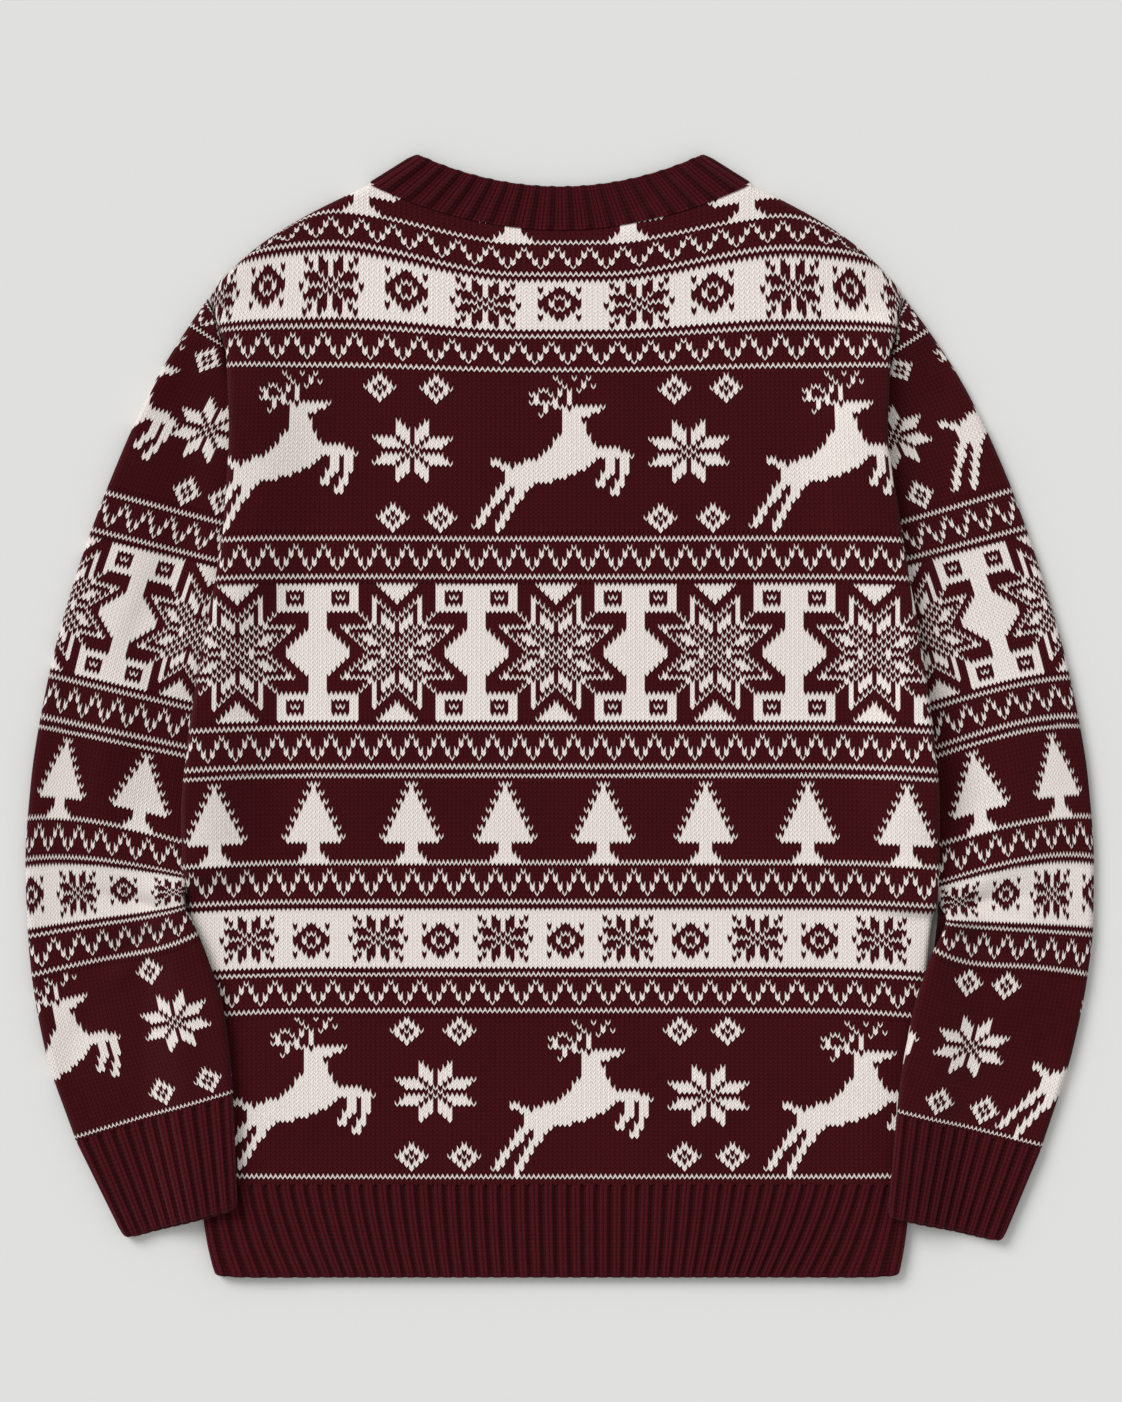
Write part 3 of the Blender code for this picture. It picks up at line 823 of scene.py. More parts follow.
def body_point(face, neck_drop, place, course, lift):
    """Points of a body panel at places across the unrolled cloth, in millimetres."""
    x = place.copy()
    for _ in range(3):
        height = course_height(x, course)
        edge = by_side(place, lambda side: side.edge_curve(height))
        depth = squeezed_depth(edge - np.abs(place), course)
        x = np.sign(place) * (edge - depth)
    closed = by_side(place, lambda side: side.stack.closed(height))
    radius = lerp(EDGE_LIP, FOLD_RADIUS, closed) if face > 0 else FOLD_RADIUS
    lowest = LOWEST_BACK if face > 0 else LOWEST_FRONT
    side_roll, side_rise = roll(depth, radius, lowest)
    slope = (shoulder_line(np.abs(x) + 0.5) - shoulder_line(np.abs(x) - 0.5)) * np.sign(x)
    steep = np.hypot(1.0, slope)
    outside_neck = np.abs(x) >= NECK_HALF_WIDTH
    top_depth = np.where(outside_neck, (shoulder_line(x) - height) / steep, FAR)
    top_roll, top_rise = roll(top_depth, FOLD_RADIUS, lowest)
    neck_edge = neck_line(x, NECK_HALF_WIDTH, NECK_CORNER, neck_drop)
    neck_depth = np.where(outside_neck, FAR, neck_edge + NECK_TUCK - height)
    past_fold = 1 - math.pi / 2 + lowest
    on_piece = (depth > radius * past_fold) & (top_depth > FOLD_RADIUS * past_fold)
    on_piece &= neck_depth > 0
    skin_x, skin_height = x.copy(), height.copy()
    x = x - np.sign(place) * (side_roll - depth)
    shift = np.where(outside_neck, top_roll - top_depth, 0.0)
    x = x + slope / steep * shift
    height = height - shift / steep + np.minimum(0.0, neck_depth)
    low, high = body_base(x, height), body_top(x, height)
    if face > 0:
        bulge = BULGE * np.interp(height, BULGE_HEIGHTS, HUMP)
        high = high + bulge * (1 - ease(depth / BULGE_REACH))
    skin, middle = high if face > 0 else low, (low + high) / 2
    if face > 0:
        middle = lerp(high - EDGE_LIP, middle, np.where(side_rise < 1, closed, 1.0))
    creases = crease_depth(BACK_CREASES, face * skin_x, skin_height)
    tuck = TUCK_DEPTH * ease((TUCK_START - neck_depth) / TUCK_REACH)
    z = lerp(middle, skin, np.minimum(side_rise, top_rise)) + face * (lift - tuck)
    return creased(x, height, z, face, creases, depth), on_piece


def knit_body(name, bands, face, neck_drop, faces_across):
    knit = Knit()
    for band in bands:
        last = int((BODY_REACH - band.shift) / band.width)
        first = -int((BODY_REACH + band.shift) / band.width)
        yarns = band.yarns(first, last + 1 - first)

        def surface(wale, line, lift):
            return body_point(face, neck_drop, wale * band.width + band.shift, line, lift)

        knit.add(band, first, yarns, surface, faces_across, flip=face < 0)
    return knit.object(name)


# ---- sleeves

SLEEVE_CLOTH = 190.0  # of a layer's unrolled width at least
UNDER_GAP = 2.0  # the underside reaches to within this distance of the body's edge
BOW_LEAN, DIP_LEAN = 0.76, 2.4  # towards the outer fold, and towards the inner one
SINK_HEIGHTS = 250.0, 300.0, 560.0, 612.0  # where the sleeves sink beside the body's edge
SINK_DEPTH = 6.0
SINK_LEVEL = 15.0
SINK_REACH = 44.0
# Painted shade: over these courses the sleeve's underside is all dark near its inner edge, so the
# gap beside the body reads as shadow
NOTCH_SHADE_COURSES = 152, 188  # the gap over these shows only burgundy
NOTCH_SHADE_REACH = 22.0
NOTCH_WIDTH = 103.0  # of the sleeve there


def sleeve_wales(band):
    """Distances of the wales' edges from the outer fold, along the cloth."""
    edges = [0.0]
    while edges[-1] < SLEEVE_CLOTH:
        share = float(ease(edges[-1] / SLEEVE_PITCH_EASE))
        edges.append(edges[-1] + lerp(band.width, band.inner_width, share))
    return np.array(edges)


def sleeve_point(side, face, arc, course, lift):
    """Points of a sleeve at distances from its outer fold along the cloth."""
    _, outer_height, inner_height, bow, dip = (
        np.interp(tightened(course), side.courses[0], column) for column in side.courses
    )
    outer_x, inner_x = side.outer_edge(outer_height), side.sleeve_edge(inner_height)
    if face < 0:
        gap = np.maximum(0.0, -UNDER_GAP - side.overlap(inner_height))
        inner_x = inner_x - side.sign * gap
    width = np.hypot(outer_x - inner_x, outer_height - inner_height)
    quarter = FOLD_RADIUS * math.pi / 2
    turn = np.minimum(arc, quarter) / FOLD_RADIUS
    depth = FOLD_RADIUS * (1 - np.cos(turn)) + np.maximum(0.0, arc - quarter)
    left_over = width - depth
    inner_depth, inner_rise = roll(left_over, FOLD_RADIUS, 0.0)
    on_piece = left_over > FOLD_RADIUS * (1 - math.pi / 2)
    depth = width - inner_depth
    share = depth / np.maximum(width, 1.0)
    rise = np.minimum(np.sin(turn), inner_rise)
    x = lerp(outer_x, inner_x, share)
    height = lerp(outer_height, inner_height, share)
    for rise_or_dip, lean in ((bow, BOW_LEAN), (-dip, DIP_LEAN)):
        height = height + rise_or_dip * np.sin(math.pi * np.clip(share, 0, 1) ** lean)
    fold_depth = np.minimum(depth, width - depth)
    near_body = 1 - ease((-side.inside(x, height) - SINK_LEVEL) / SINK_REACH)
    sink = SINK_DEPTH * np.interp(height, SINK_HEIGHTS, HUMP)
    thickness = sleeve_thickness(fold_depth) - sink * near_body * (face > 0)
    z = side.sleeve_base(x, height) + thickness / 2 * (1 + face * rise) + face * lift
    creases = crease_depth(SLEEVE_CREASES, x, height, side.sign)
    return creased(x, height, z, face, creases, fold_depth), on_piece


def knit_sleeve(name, side):
    knit = Knit()
    for face, faces_across in ((1, FINE), (-1, PLAIN)):
        for band in sleeve_bands(side):
            edges = sleeve_wales(band)
            count = len(edges) - 1
            first = 0 if face > 0 else -count
            yarns = band.yarns(first, count, flip=side.sign > 0)
            if face < 0:
                # Painted shade: the underside's stitches near the inner edge turn dark here,
                # standing in for the shadow in the gap
                if NOTCH_SHADE_COURSES[0] <= band.first and band.last <= NOTCH_SHADE_COURSES[1]:
                    yarns[:, edges[1:] > NOTCH_WIDTH - NOTCH_SHADE_REACH] = DARK
                yarns = yarns[:, ::-1]

            def surface(wale, line, lift):
                arc = np.interp(wale + 0.5, np.arange(len(edges)), edges)
                return sleeve_point(side, face, arc, line, lift)

            knit.add(band, 0, yarns, surface, faces_across, flip=side.sign * face > 0)
    return knit.object(name)


# ---- ribbed bands

RIB_POINTS = 12  # points across one rib
RIB_SHARE = 0.62  # of a rib's pitch that its two plain wales take
RIB_SWELL = 0.25  # of the relief that stands out of the model's skin
GROOVE_START = RIB_SHARE - 0.15  # the groove starts inside the rib's edge
# where the painted shade of a groove starts
GROOVE_SHADE_START = RIB_SHARE - 0.16
RIM_RADIUS = WALL / 2
RIM_TURNS = 6
RIM_INSIDE = 12.0  # how far the turned-in edge shows inside
RIM_ROWS = 3
RIB_COURSE = 2.6
SEAM_FADE = 1.6  # the ribs fade over this distance towards the seam
EDGE_FADE, EDGE_LOSS = 6.0, 0.65  # and over this one lose this share at the free edge


def rib_band(name, height, plan, base, top, ribs, courses, wales=2):
    """A ribbed ring. plan(s, t, face) gives plan points, s from the seam to the free
    edge and t from one folded edge to the other."""
    length = height - RIM_RADIUS
    down = [(lerp(0.0, length, i / courses), 0.0) for i in range(courses + 1)]
    for i in range(1, RIM_TURNS + 1):
        turn = math.pi * i / RIM_TURNS
        down.append((length + RIM_RADIUS * math.sin(turn), RIM_RADIUS * (1 - math.cos(turn))))
    down += [(length - RIM_INSIDE * (i + 1) / RIM_ROWS, WALL) for i in range(RIM_ROWS)]
    along = np.array([step[0] for step in down])[:, None] / height
    under = np.array([step[1] for step in down])[:, None]
    grids, phases = [], []
    for face in (1, -1):
        share = np.arange(ribs * RIB_POINTS + 1)[None, :] / (ribs * RIB_POINTS)
        grid, phase = rib_layer(along, under, share, face, plan, base, top)
        if face < 0:
            grid, phase = grid[:, -2:0:-1], -phase[:, -2:0:-1]
        grids.append(grid)
        phases.append(phase)
    points = np.concatenate(grids, 1)
    phases = np.concatenate(phases, 1) * ribs
    rows, columns = points.shape[:2]
    number = np.arange(rows * columns).reshape(rows, columns)
    after = np.roll(number, -1, 1)
    faces = np.stack((number[1:], after[1:], after[:-1], number[:-1]), -1).reshape(-1, 4)
    obj = plain_object(name, points.reshape(-1, 3), faces)
    outward = np.broadcast_to(1 - np.clip(under / WALL, 0, 1), (rows, columns))
    at_seam, at_edge = along * height / SEAM_FADE, 1 - (1 - along) * height / EDGE_FADE
    faded = ease(at_seam) * (1 - EDGE_LOSS * ease(at_edge))
    put(obj, "rib_phase", phases)
    put(obj, "rib_weight", outward * faded)
    put(obj, "rib_wales", np.full(phases.size, wales))
    uvs = np.stack((phases, np.broadcast_to(along * height / RIB_COURSE, phases.shape)), -1)
    lay_uv(obj, uvs.reshape(-1, 2), faces)
    return obj


def rib_layer(along, under, share, face, plan, base, top):
    start_x, start_height = plan(along, 0.0, face)
    end_x, end_height = plan(along, 1.0, face)
    width = np.hypot(end_x - start_x, end_height - start_height)
    quarter = FOLD_RADIUS * math.pi / 2
    arc_length = width + 2 * (quarter - FOLD_RADIUS)
    arc = share * arc_length
    near = np.minimum(arc, arc_length - arc)
    turn = np.minimum(near, quarter) / FOLD_RADIUS
    depth = FOLD_RADIUS - (FOLD_RADIUS - under) * np.cos(turn) + np.maximum(0.0, near - quarter)
    across = np.where(arc < arc_length / 2, depth, width - depth) / width
    x, height = plan(along, across, face)
    low, high = base(x, height), top(x, height, np.minimum(across, 1 - across) * width)
    half = (high - low) / 2 - under
    z = (low + high) / 2 + face * np.sin(turn) * half
    return np.stack(np.broadcast_arrays(x, height, z), -1), np.broadcast_to(share, z.shape)


LEFT_LEAN, RIGHT_LEAN = 0.14, 0.23  # of the hem's ribs near its ends, as shares of its width
LEAN_GROWTH = 1.3
HEM_ROUNDING, HEM_SHARPNESS = 0.03, 40  # of its corners, the first as a share of its height
WRIST_ROUNDING, WRIST_SHARPNESS = 0.05, 16
WRIST_STEP = 0.028  # how much shorter a wristband's upper layer is than its lower one
NECK_BASE, NECK_RISE = 0.2, 0.5  # of the neckband, over the floor and over the panels


def make_hem():
    def plan(s, t, face):
        aside = 2 * t - 1
        lean = np.where(aside < 0, LEFT_LEAN, RIGHT_LEAN)
        t = t - lean * s**LEAN_GROWTH * aside**3 * (1 - aside**2)
        s = s * (1 - HEM_ROUNDING * np.abs(aside) ** HEM_SHARPNESS)
        height = lerp(HEM_HEIGHT - SEAM / 2, 0.0, s)
        return lerp(LEFT.edge(height), RIGHT.edge(height), t), height

    def top(x, height, depth):
        return body_top(x, height)

    return rib_band("hem_rib_knit", HEM_HEIGHT, plan, body_base, top, ribs=52, courses=28)


def make_neckband():
    def plan(s, t, face):
        s = lerp(SEAM / NECKBAND_HEIGHT, 1.0, s)
        back, front = (BACK_NECK_DROP, BACK_FREE_DROP), (FRONT_NECK_DROP, FRONT_FREE_DROP)
        drop = lerp(*(back if face > 0 else front), s)
        half_width = lerp(NECK_HALF_WIDTH, NECK_FREE_HALF_WIDTH, s)
        x = lerp(-half_width, half_width, t)
        return x, neck_line(x, half_width, lerp(NECK_CORNER, LENGTH, s), drop)

    def base(x, height):
        return np.full_like(x, NECK_BASE)

    def top(x, height, depth):
        return middle_top(x, height) + NECK_RISE

    return rib_band(
        "neckband_rib_knit", NECKBAND_HEIGHT, plan, base, top, ribs=19, courses=14, wales=3
    )


def make_wristband(name, side):
    seam_x, *seam_heights = side.seam
    edge_x, *edge_heights = side.wrist
    outer = (side.sign * seam_x, seam_heights[0]), (side.sign * edge_x, edge_heights[0])
    inner = [(side.sleeve_edge(row[1]), row[1]) for row in (seam_heights, edge_heights)]
    ends = (outer, inner) if side.sign < 0 else (inner, outer)

    def plan(s, t, face):
        aside = np.abs(2 * t - 1)
        step = WRIST_STEP * (1 - aside**4) if face > 0 else 0.0
        s = s * (1 - WRIST_ROUNDING * aside**WRIST_SHARPNESS - step)
        s = lerp(SEAM / WRISTBAND_HEIGHT, 1.0, s)
        left, right = ([lerp(a, b, s) for a, b in zip(*end)] for end in ends)
        return lerp(left[0], right[0], t), lerp(left[1], right[1], t)

    def top(x, height, depth):
        return side.sleeve_base(x, height) + sleeve_thickness(depth)

    return rib_band(name, WRISTBAND_HEIGHT, plan, side.sleeve_base, top, ribs=12, courses=30)


# ---- node trees


def operation(name, order=1):
    """A method that adds a Math node of that name; `order` -1 swaps its inputs."""

    def method(self, *others):
        sockets = dict(enumerate((self, *others)[::order]))
        return self.graph.node("ShaderNodeMath", {"operation": name}, sockets)

    return method


class Value:
    """An output socket whose arithmetic adds Math nodes."""

    def __init__(self, graph, socket):
        self.graph, self.socket = graph, socket

    __add__ = __radd__ = operation("ADD")
    __mul__ = __rmul__ = operation("MULTIPLY")
    __sub__, __rsub__ = operation("SUBTRACT"), operation("SUBTRACT", -1)
    __truediv__ = operation("DIVIDE")
    fraction, absolute, sine = operation("FRACT"), operation("ABSOLUTE"), operation("SINE")

    def smooth(self, low, high):
        """0 up to `low` and 1 from `high`, with a smooth rise between."""
        settings = {"interpolation_type": "SMOOTHSTEP"}
        sockets = {"Value": self, "From Min": low, "From Max": high}
        return self.graph.node("ShaderNodeMapRange", settings, sockets)

    def hump(self):
        """From 0 over 1 and back as this value goes from one whole number to the next."""
        offset = self.fraction() * 2 - 1
        return 1 - offset * offset


class Graph:
    """Adds nodes to a tree."""

    def __init__(self, tree):
        self.tree = tree

    def node(self, kind, settings, sockets, output=0):
        node = self.tree.nodes.new(kind)
        for name, value in settings.items():
            setattr(node, name, value)
        for name, value in sockets.items():
            if isinstance(value, Value):
                self.tree.links.new(value.socket, node.inputs[name])
            else:
                node.inputs[name].default_value = value
        return Value(self, node.outputs[output]) if node.outputs else None

    def mix(self, factor, first, second):
        sockets = {0: factor, 6: first, 7: second}  # numbers of those for colours
        return self.node("ShaderNodeMix", {"data_type": "RGBA"}, sockets, output=2)

    def vector(self, operation, first, second):
        return self.node("ShaderNodeVectorMath", {"operation": operation}, {0: first, 1: second})

    def scaled(self, vector, factor):
        sockets = {0: vector, "Scale": factor}
        return self.node("ShaderNodeVectorMath", {"operation": "SCALE"}, sockets)


def relief_tree(name, sizes, build):
    """A Geometry Nodes tree that moves points by what build(graph, inputs) gives."""
    tree = bpy.data.node_groups.new(name, "GeometryNodeTree")
    kinds = [("Geometry", "Geometry"), *((size, "Float") for size in sizes), ("Material",) * 2]
    for label, kind in kinds:
        tree.interface.new_socket(label, in_out="INPUT", socket_type="NodeSocket" + kind)
    tree.interface.new_socket("Geometry", in_out="OUTPUT", socket_type="NodeSocketGeometry")
    graph = Graph(tree)
    group = tree.nodes.new("NodeGroupInput")
    given = {socket.name: Value(graph, socket) for socket in group.outputs if socket.name}
    sockets = {"Geometry": given["Geometry"], "Offset": build(graph, given)}
    for kind in ("SetPosition", "SetShadeSmooth", "RealizeInstances", "SetMaterial"):
        if kind == "SetMaterial":
            sockets["Material"] = given["Material"]
        sockets = {"Geometry": graph.node("GeometryNode" + kind, {}, sockets)}
    graph.node("NodeGroupOutput", {}, sockets)
    return tree


def attribute(graph, name, data_type="FLOAT"):
    return graph.node("GeometryNodeInputNamedAttribute", {"data_type": data_type}, {"Name": name})


def stitch_tree():
    """Draws each stitch of a flat knitted mesh down to a V and raises its two legs."""

    def build(graph, given):
        phase = attribute(graph, "stitch_phase")
        thinned = attribute(graph, "thinned")
        step = attribute(graph, "course_step", "FLOAT_VECTOR")
        drop = given["Point depth"] * phase + given["Thinning"] * thinned * (phase + 0.5)
        side = phase * 2 - 1
        height = given["Leg relief"] * (1 - side * side)
        normal = graph.node("GeometryNodeInputNormal", {}, {})
        return graph.vector("ADD", graph.scaled(step, drop), graph.scaled(normal, height))

    return relief_tree("stitch relief", ("Point depth", "Thinning", "Leg relief"), build)


def rib_tree():
    """Raises pairs of wales from a ribbed mesh and sinks the grooves between them."""

    def build(graph, given):
        phase = attribute(graph, "rib_phase")
        weight = attribute(graph, "rib_weight")
        aside = (phase.fraction() - 0.5).absolute() * 2
        groove = aside.smooth(GROOVE_START, 1.0)
        wale = aside * (2 / RIB_SHARE) - 1
        height = given["Wale relief"] * (1 - wale * wale) * (1 - groove)
        normal = graph.node("GeometryNodeInputNormal", {}, {})
        rib = given["Rib relief"] * (RIB_SWELL - groove)
        return graph.scaled(normal, (height + rib) * weight)

    return relief_tree("rib relief", ("Rib relief", "Wale relief"), build)


FLOOR_GAP = 0.05  # between the floor and the lowest yarn


def apply_relief(obj, tree, values):
    """Runs a relief tree on an object and keeps the result as its plain mesh."""
    modifier = obj.modifiers.new("relief", "NODES")
    modifier.node_group = tree
    for item in tree.interface.items_tree:
        if item.in_out == "INPUT" and item.name in values:
            modifier[item.identifier] = values[item.name]
    graph = bpy.context.evaluated_depsgraph_get()
    mesh = bpy.data.meshes.new_from_object(obj.evaluated_get(graph), depsgraph=graph)
    obj.modifiers.remove(modifier)
    places = np.empty(3 * len(mesh.vertices), np.float32)
    mesh.vertices.foreach_get("co", places)
    places[2::3] = np.maximum(places[2::3], FLOOR_GAP * MM)
    mesh.vertices.foreach_set("co", places)
    old, obj.data = obj.data, mesh
    bpy.data.meshes.remove(old)
    mesh.name = obj.name
    for spent in ("stitch_phase", "thinned", "course_step", "rib_phase", "rib_weight"):
        if spent in mesh.attributes:
            mesh.attributes.remove(mesh.attributes[spent])
    if mesh.materials[:] != [values["Material"]]:
        raise RuntimeError(obj.name + " didn't take its material")


# ---- materials


def new_material(name):
    material = bpy.data.materials.new(name)
    material.use_nodes = True
    material.node_tree.nodes.clear()
    return material, Graph(material.node_tree)


YARN_ROUGHNESS, YARN_SHEEN, YARN_BUMP = 0.95, 0.09, 0.0005
SHEEN_TINT = (1.0, 0.72, 0.72, 1.0)
SPECULAR = 0.03
CLOUD_SCALE, FUZZ_SCALE, FUZZ_DETAIL = 14.0, 900.0, 3.0  # of the dye and the nap
PLY_TURNS = 2  # of the yarn along a stitch
# Painted shade: the colour that the ribs' grooves, lines and furrows are darkened towards
RIB_SHADE = (0.014, 0.0014, 0.0024, 1)

# How much each part of a stitch adds to the bump, and how much of the furrows' painted shade it is
# spared
LEG_HEIGHT, TURN_HEIGHT, PLY_HEIGHT, NAP_HEIGHT = 0.4, 0.6, 0.1, 0.7
WALE_LIGHT, LEG_LIGHT, TURN_LIGHT = 0.46, 0.12, 0.75
FURROW_SHADE, PALE_LOSS, NAP_SHADE = 0.95, 0.36, 0.6
# The same for the ribs, whose grooves get painted shade and whose wales are parted by fine lines
# of painted shade
LINE_START = 0.3
RIB_STITCH_HEIGHT, RIB_LINE_HEIGHT, RIB_NAP_HEIGHT = 0.3, -0.3, 0.6
RIB_STITCH_SHADE, RIB_LINE_SHADE, RIB_GROOVE_SHADE, RIB_NAP_SHADE = 0.45, 0.42, 0.6, 0.8
# The floor is all but even
FLOOR_CLOUD, FLOOR_PALER, FLOOR_BUMP, FLOOR_ROUGHNESS = 3.0, 1.01, 0.0001, 0.9


def opaque(colour):
    return tuple(colour) + (1,)


def finish_material(
    graph, colour, height, distance=YARN_BUMP, roughness=YARN_ROUGHNESS, sheen=YARN_SHEEN
):
    sockets = {"Strength": 1.0, "Distance": distance, "Height": height}
    bump = graph.node("ShaderNodeBump", {}, sockets)
    sockets = {
        "Base Color": colour,
        "Roughness": roughness,
        "Normal": bump,
        "Sheen Weight": sheen,
        "Sheen Roughness": 0.5,
        "Sheen Tint": SHEEN_TINT,
        "Specular IOR Level": SPECULAR,
    }
    shader = graph.node("ShaderNodeBsdfPrincipled", {}, sockets)
    graph.node("ShaderNodeOutputMaterial", {}, {"Surface": shader})


def noise(graph, vector, scale, detail=2.0):
    sockets = {"Vector": vector, "Scale": scale, "Detail": detail}
    return graph.node("ShaderNodeTexNoise", {}, sockets)


def yarn_material(name, mark):
    """A material with what both knits use: an attribute, the place across and along the
    stitches, a cloud for uneven dye and a fine nap."""
    material, graph = new_material(name)
    marked = graph.node("ShaderNodeAttribute", {"attribute_name": mark}, {}, "Fac")
    place = graph.node("ShaderNodeTexCoord", {}, {}, "Object")
    stitches = graph.node("ShaderNodeUVMap", {"uv_map": "stitches"}, {})
    split = graph.node("ShaderNodeSeparateXYZ", {}, {"Vector": stitches})
    across, along = (Value(graph, split.socket.node.outputs[axis]) for axis in "XY")
    cloud = noise(graph, place, CLOUD_SCALE)
    fuzz = noise(graph, place, FUZZ_SCALE, FUZZ_DETAIL)
    return material, graph, marked, across, along, cloud, fuzz


def jacquard_material(knit):
    """Two-colour knit: plied yarn, with painted shade in the furrows between and inside the
    stitches.
    """
    material, graph, light_yarn, across, along, cloud, fuzz = yarn_material(
        "jacquard_wool", "light_yarn"
    )
    dark = graph.mix(cloud, opaque(knit.burgundy_deep), opaque(knit.burgundy))
    pale = graph.mix(cloud, opaque(knit.cream_deep), opaque(knit.cream))
    colour = graph.mix(light_yarn, dark, pale)
    wale, leg, turn = across.hump(), (across * 2).hump(), along.hump()
    ply = ((along * 2 + across) * (2 * math.pi * PLY_TURNS)).sine() * 0.5 + 0.5
    height = leg * LEG_HEIGHT + turn * TURN_HEIGHT + ply * PLY_HEIGHT + fuzz * NAP_HEIGHT
    lit = wale * WALE_LIGHT + leg * LEG_LIGHT + (1 - WALE_LIGHT - LEG_LIGHT)
    grooves = 1 - lit * (turn * TURN_LIGHT + (1 - TURN_LIGHT))
    # Painted shade: the furrows are darkened towards the shade colours, less on the pale yarn, and
    # the nap's noise varies this at random
    shade = grooves * (FURROW_SHADE - PALE_LOSS * light_yarn) + (fuzz - 0.5) * NAP_SHADE
    shaded = graph.mix(light_yarn, opaque(knit.burgundy_shade), opaque(knit.cream_shade))
    finish_material(graph, graph.mix(shade, colour, shaded), height)
    return material


def rib_material(knit):
    """Burgundy rib: painted shade in the grooves between the ribs and in fine lines between their
    wales.
    """
    material, graph, wales, across, down, cloud, fuzz = yarn_material("rib_wool", "rib_wales")
    place_in_rib = across.fraction() - 0.5
    aside = place_in_rib.absolute() * 2
    wale = 1 - ((place_in_rib / RIB_SHARE + 0.5) * wales).hump()
    stitch = (down + wale * 0.5).hump()
    colour = graph.mix(cloud, opaque(knit.rib_deep), opaque(knit.rib))
    groove = aside.smooth(GROOVE_SHADE_START, 1.0)
    line = wale.smooth(LINE_START, 1.0)
    furrow = (1 - stitch) * RIB_STITCH_SHADE + (fuzz - 0.5) * RIB_NAP_SHADE
    # Painted shade: grooves, lines between wales and furrows between courses darken towards
    # RIB_SHADE; the nap's noise varies it at random
    shade = groove * RIB_GROOVE_SHADE + line * wales * RIB_LINE_SHADE + furrow
    height = stitch * RIB_STITCH_HEIGHT + wale * RIB_LINE_HEIGHT + fuzz * RIB_NAP_HEIGHT
    finish_material(graph, graph.mix(shade, colour, RIB_SHADE), height)
    return material


def floor_material(stage):
    material, graph = new_material("studio_floor")
    place = graph.node("ShaderNodeTexCoord", {}, {}, "Object")
    cloud = noise(graph, place, FLOOR_CLOUD)
    paler = opaque(min(1.0, value * FLOOR_PALER) for value in stage.floor)
    colour = graph.mix(cloud, opaque(stage.floor), paler)
    finish_material(graph, colour, cloud, FLOOR_BUMP, FLOOR_ROUGHNESS, sheen=0.0)
    return material


def shared(kept, name, make, *given):
    """The material or tree of that name, made on its first use."""
    return kept.get(name) or make(*given)


# ---- settings


def colour(name, description, *default):
    return bpy.props.FloatVectorProperty(
        name=name, description=description, default=default, subtype="COLOR"
    )


def amount(name, description, default, **more):
    return bpy.props.FloatProperty(name=name, description=description, default=default, **more)


def size(name, description, default):
    return amount(name, description, default, unit="LENGTH", precision=5)


class SweaterKnitSettings(bpy.types.PropertyGroup):
    """Yarns and stitches of the jacquard panels and sleeves, and the yarn of the ribs."""

    point_depth: amount("Point depth", "Depth of a stitch's V, in courses", 0.76, min=0, max=1)
    thinning: amount(
        "Thinning", "How far dark stitches cover light ones under them, in courses", 0.42, min=0
    )
    leg_relief: size("Leg relief", "Height of a stitch's legs over its edges", 0.0003)
    burgundy: colour("Burgundy", "Main yarn", 0.082, 0.0068, 0.0098)
    burgundy_deep: colour("Deep burgundy", "Main yarn, dyed deeper", 0.059, 0.0048, 0.0069)
    # Painted shade: the colour that the dark stitches' furrows are darkened towards
    burgundy_shade: colour("Burgundy shade", "Main yarn in the furrows", 0.014, 0.0011, 0.0020)
    cream: colour("Cream", "Pattern yarn", 1.0, 0.93, 0.875)
    cream_deep: colour("Deep cream", "Pattern yarn where it is darker", 0.97, 0.88, 0.83)
    # Painted shade: the colour that the pale stitches' furrows are darkened towards
    cream_shade: colour("Cream shade", "Pattern yarn in the furrows", 0.38, 0.31, 0.28)
    rib: colour("Rib", "Yarn of the ribbed bands", 0.078, 0.0066, 0.0108)
    rib_deep: colour("Deep rib", "Yarn of the ribbed bands, dyed deeper", 0.066, 0.0054, 0.0088)


class SweaterRibSettings(bpy.types.PropertyGroup):
    """Relief of the ribbed bands."""

    rib_relief: size("Rib relief", "Height of a rib over the groove beside it", 0.0017)
    wale_relief: size("Wale relief", "Height of a rib's wales over the lines between them", 0.0004)


class SweaterStageSettings(bpy.types.PropertyGroup):
    """Floor, lights and camera."""

    floor: colour("Floor", "Colour of the floor", 0.735, 0.731, 0.713)
    key: amount("Key light", "Strength of the main light", 2.15)
    fill: amount("Fill light", "Strength of the soft light all round", 0.595)
    lens: amount("Lens", "Focal length in millimetres", 85.0)


def finish_knit(obj, node, slot):
    knit, rib = bpy.context.scene.sweater_knit, bpy.context.scene.sweater_rib
    materials, trees = bpy.data.materials, bpy.data.node_groups
    if slot == "jacquard_knit":
        tree = shared(trees, "stitch relief", stitch_tree)
        values = {
            "Point depth": knit.point_depth,
            "Thinning": knit.thinning,
            "Leg relief": knit.leg_relief,
            "Material": shared(materials, "jacquard_wool", jacquard_material, knit),
        }
    else:
        tree = shared(trees, "rib relief", rib_tree)
        values = {
            "Rib relief": rib.rib_relief,
            "Wale relief": rib.wale_relief,
            "Material": shared(materials, "rib_wool", rib_material, knit),
        }
    apply_relief(obj, tree, values)
    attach(obj, "root")
    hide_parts(node)


# ---- operators


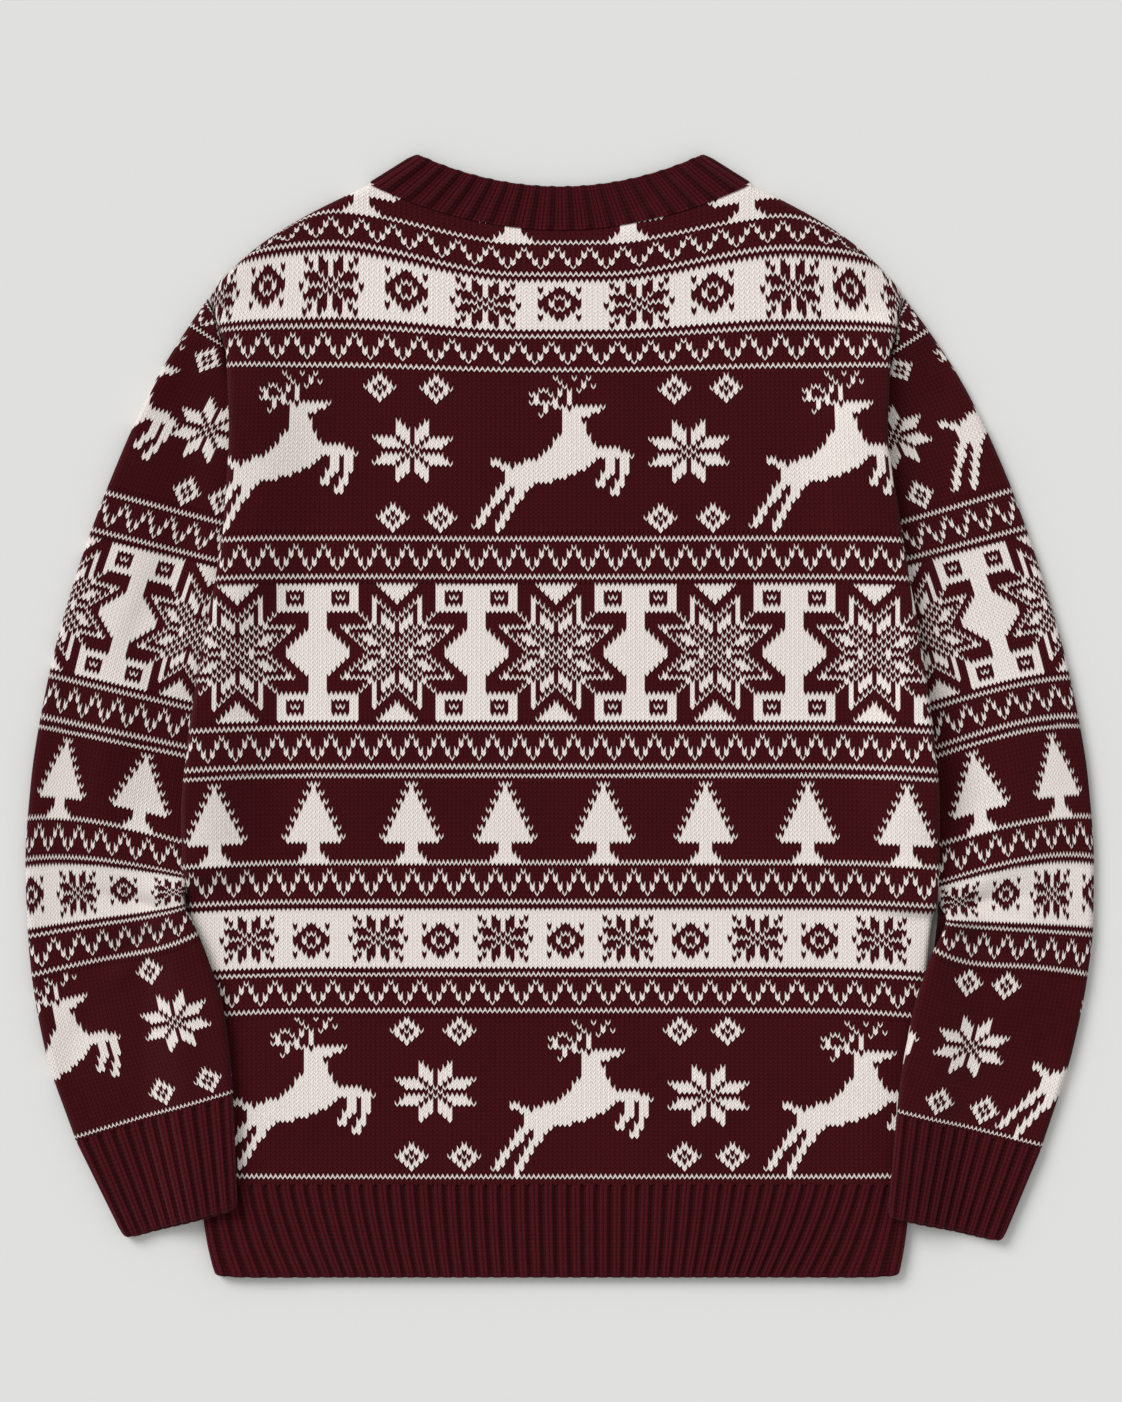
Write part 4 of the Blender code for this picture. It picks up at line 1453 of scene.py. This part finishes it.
class SWEATER_OT_back(bpy.types.Operator):
    """Knit the back panel in two lengths that meet in a plain course"""

    bl_idname = "sweater.back"
    bl_label = "Back panel"

    def execute(self, context):
        bands = body_bands()
        upper = knit_body("back_upper_knit", bands[:4], 1, BACK_NECK_DROP, FINE)
        lower = knit_body("back_lower_knit", bands[4:], 1, BACK_NECK_DROP, FINE)
        finish_knit(upper, "back_panel", "jacquard_knit")
        finish_knit(lower, "back_panel", "jacquard_knit")
        return {"FINISHED"}


class SWEATER_OT_front(bpy.types.Operator):
    """Knit the front panel, which lies under the back"""

    bl_idname = "sweater.front"
    bl_label = "Front panel"

    def execute(self, context):
        front = knit_body("front_knit", body_bands(), -1, FRONT_NECK_DROP, PLAIN)
        finish_knit(front, "front_panel", "jacquard_knit")
        return {"FINISHED"}


class SWEATER_OT_sleeves(bpy.types.Operator):
    """Knit both sleeves, each one piece that is closed under the arm"""

    bl_idname = "sweater.sleeves"
    bl_label = "Sleeves"

    def execute(self, context):
        for name, side in (("sleeve_left", LEFT), ("sleeve_right", RIGHT)):
            sleeve = knit_sleeve(name + "_knit", side)
            finish_knit(sleeve, name, "jacquard_knit")
        return {"FINISHED"}


class SWEATER_OT_bands(bpy.types.Operator):
    """Knit the ribbed bands of the neck, the hem and the wrists"""

    bl_idname = "sweater.bands"
    bl_label = "Ribbed bands"

    def execute(self, context):
        finish_knit(make_neckband(), "neckband", "rib_knit")
        finish_knit(make_hem(), "hem_rib", "rib_knit")
        for name, side in (("wristband_left", LEFT), ("wristband_right", RIGHT)):
            band = make_wristband(name + "_rib_knit", side)
            finish_knit(band, name, "rib_knit")
        return {"FINISHED"}


IMAGE_HEIGHT = 1402
MM_PER_PIXEL = 0.63
VIEW_CENTRE = (0.6, 363.5)  # across and up the garment
SENSOR = 36.0
FLOOR_SIZE = 40.0
KEY_PLACE = (-1.4, 1.4, 1.6)
KEY_SPREAD = 30.0
FILL_COLOUR = (0.98, 0.99, 1.0, 1.0)


class SWEATER_OT_stage(bpy.types.Operator):
    """Lay the floor, place the camera straight above and light the scene softly"""

    bl_idname = "sweater.stage"
    bl_label = "Stage"

    def execute(self, context):
        stage = context.scene.sweater_stage
        half = FLOOR_SIZE / 2
        corners = [(-half, -half, 0), (half, -half, 0), (half, half, 0), (-half, half, 0)]
        mesh = bpy.data.meshes.new("floor")
        mesh.from_pydata(corners, [], [(0, 1, 2, 3)])
        mesh.materials.append(floor_material(stage))
        new_object("studio_floor", mesh)
        add_camera(stage)
        add_key_light(stage.key)
        world = bpy.data.worlds.new("studio")
        world.use_nodes = True
        background = world.node_tree.nodes["Background"]
        background.inputs["Color"].default_value = FILL_COLOUR
        background.inputs["Strength"].default_value = stage.fill
        context.scene.world = world
        context.scene.view_settings.view_transform = "Standard"
        return {"FINISHED"}


def add_camera(stage):
    camera = bpy.data.cameras.new("camera")
    camera.lens = stage.lens
    camera.sensor_width = SENSOR
    distance = IMAGE_HEIGHT * MM_PER_PIXEL * MM * stage.lens / SENSOR
    obj = new_object("camera", camera)
    obj.location = (VIEW_CENTRE[0] * MM, (VIEW_CENTRE[1] - LENGTH / 2) * MM, distance + FLAT * MM)
    bpy.context.scene.camera = obj


def add_key_light(strength):
    """A wide, distant softbox up to the left."""
    key = bpy.data.lights.new("key", "SUN")
    key.energy = strength
    key.angle = math.radians(KEY_SPREAD)
    obj = new_object("key", key)
    obj.location = x, y, z = KEY_PLACE
    obj.rotation_euler = (math.atan2(math.hypot(x, y), z), 0.0, math.atan2(x, -y))


class SWEATER_PT_panel(bpy.types.Panel):
    """Sizes, colours and pieces of the sweater"""

    bl_idname = "SWEATER_PT_panel"
    bl_label = "Sweater"
    bl_space_type = "VIEW_3D"
    bl_region_type = "UI"
    bl_category = "Sweater"

    def draw(self, context):
        for group in GROUPS:
            values = getattr(context.scene, GROUPS[group])
            column = self.layout.column(align=True)
            for name in group.__annotations__:
                column.prop(values, name)
        for operator in OPERATORS:
            self.layout.operator(operator.bl_idname)


GROUPS = {
    SweaterKnitSettings: "sweater_knit",
    SweaterRibSettings: "sweater_rib",
    SweaterStageSettings: "sweater_stage",
}
OPERATORS = (
    SWEATER_OT_back,
    SWEATER_OT_front,
    SWEATER_OT_sleeves,
    SWEATER_OT_bands,
    SWEATER_OT_stage,
)


def register():
    for group, name in GROUPS.items():
        bpy.utils.register_class(group)
        setattr(bpy.types.Scene, name, bpy.props.PointerProperty(type=group))
    for cls in OPERATORS + (SWEATER_PT_panel,):
        bpy.utils.register_class(cls)


def unregister():
    for cls in (SWEATER_PT_panel,) + OPERATORS[::-1]:
        bpy.utils.unregister_class(cls)
    for group, name in GROUPS.items():
        delattr(bpy.types.Scene, name)
        bpy.utils.unregister_class(group)


def main():
    register()
    bpy.ops.sweater.back()
    bpy.ops.sweater.front()
    bpy.ops.sweater.sleeves()
    bpy.ops.sweater.bands()
    bpy.ops.sweater.stage()


if __name__ == "__main__":
    main()
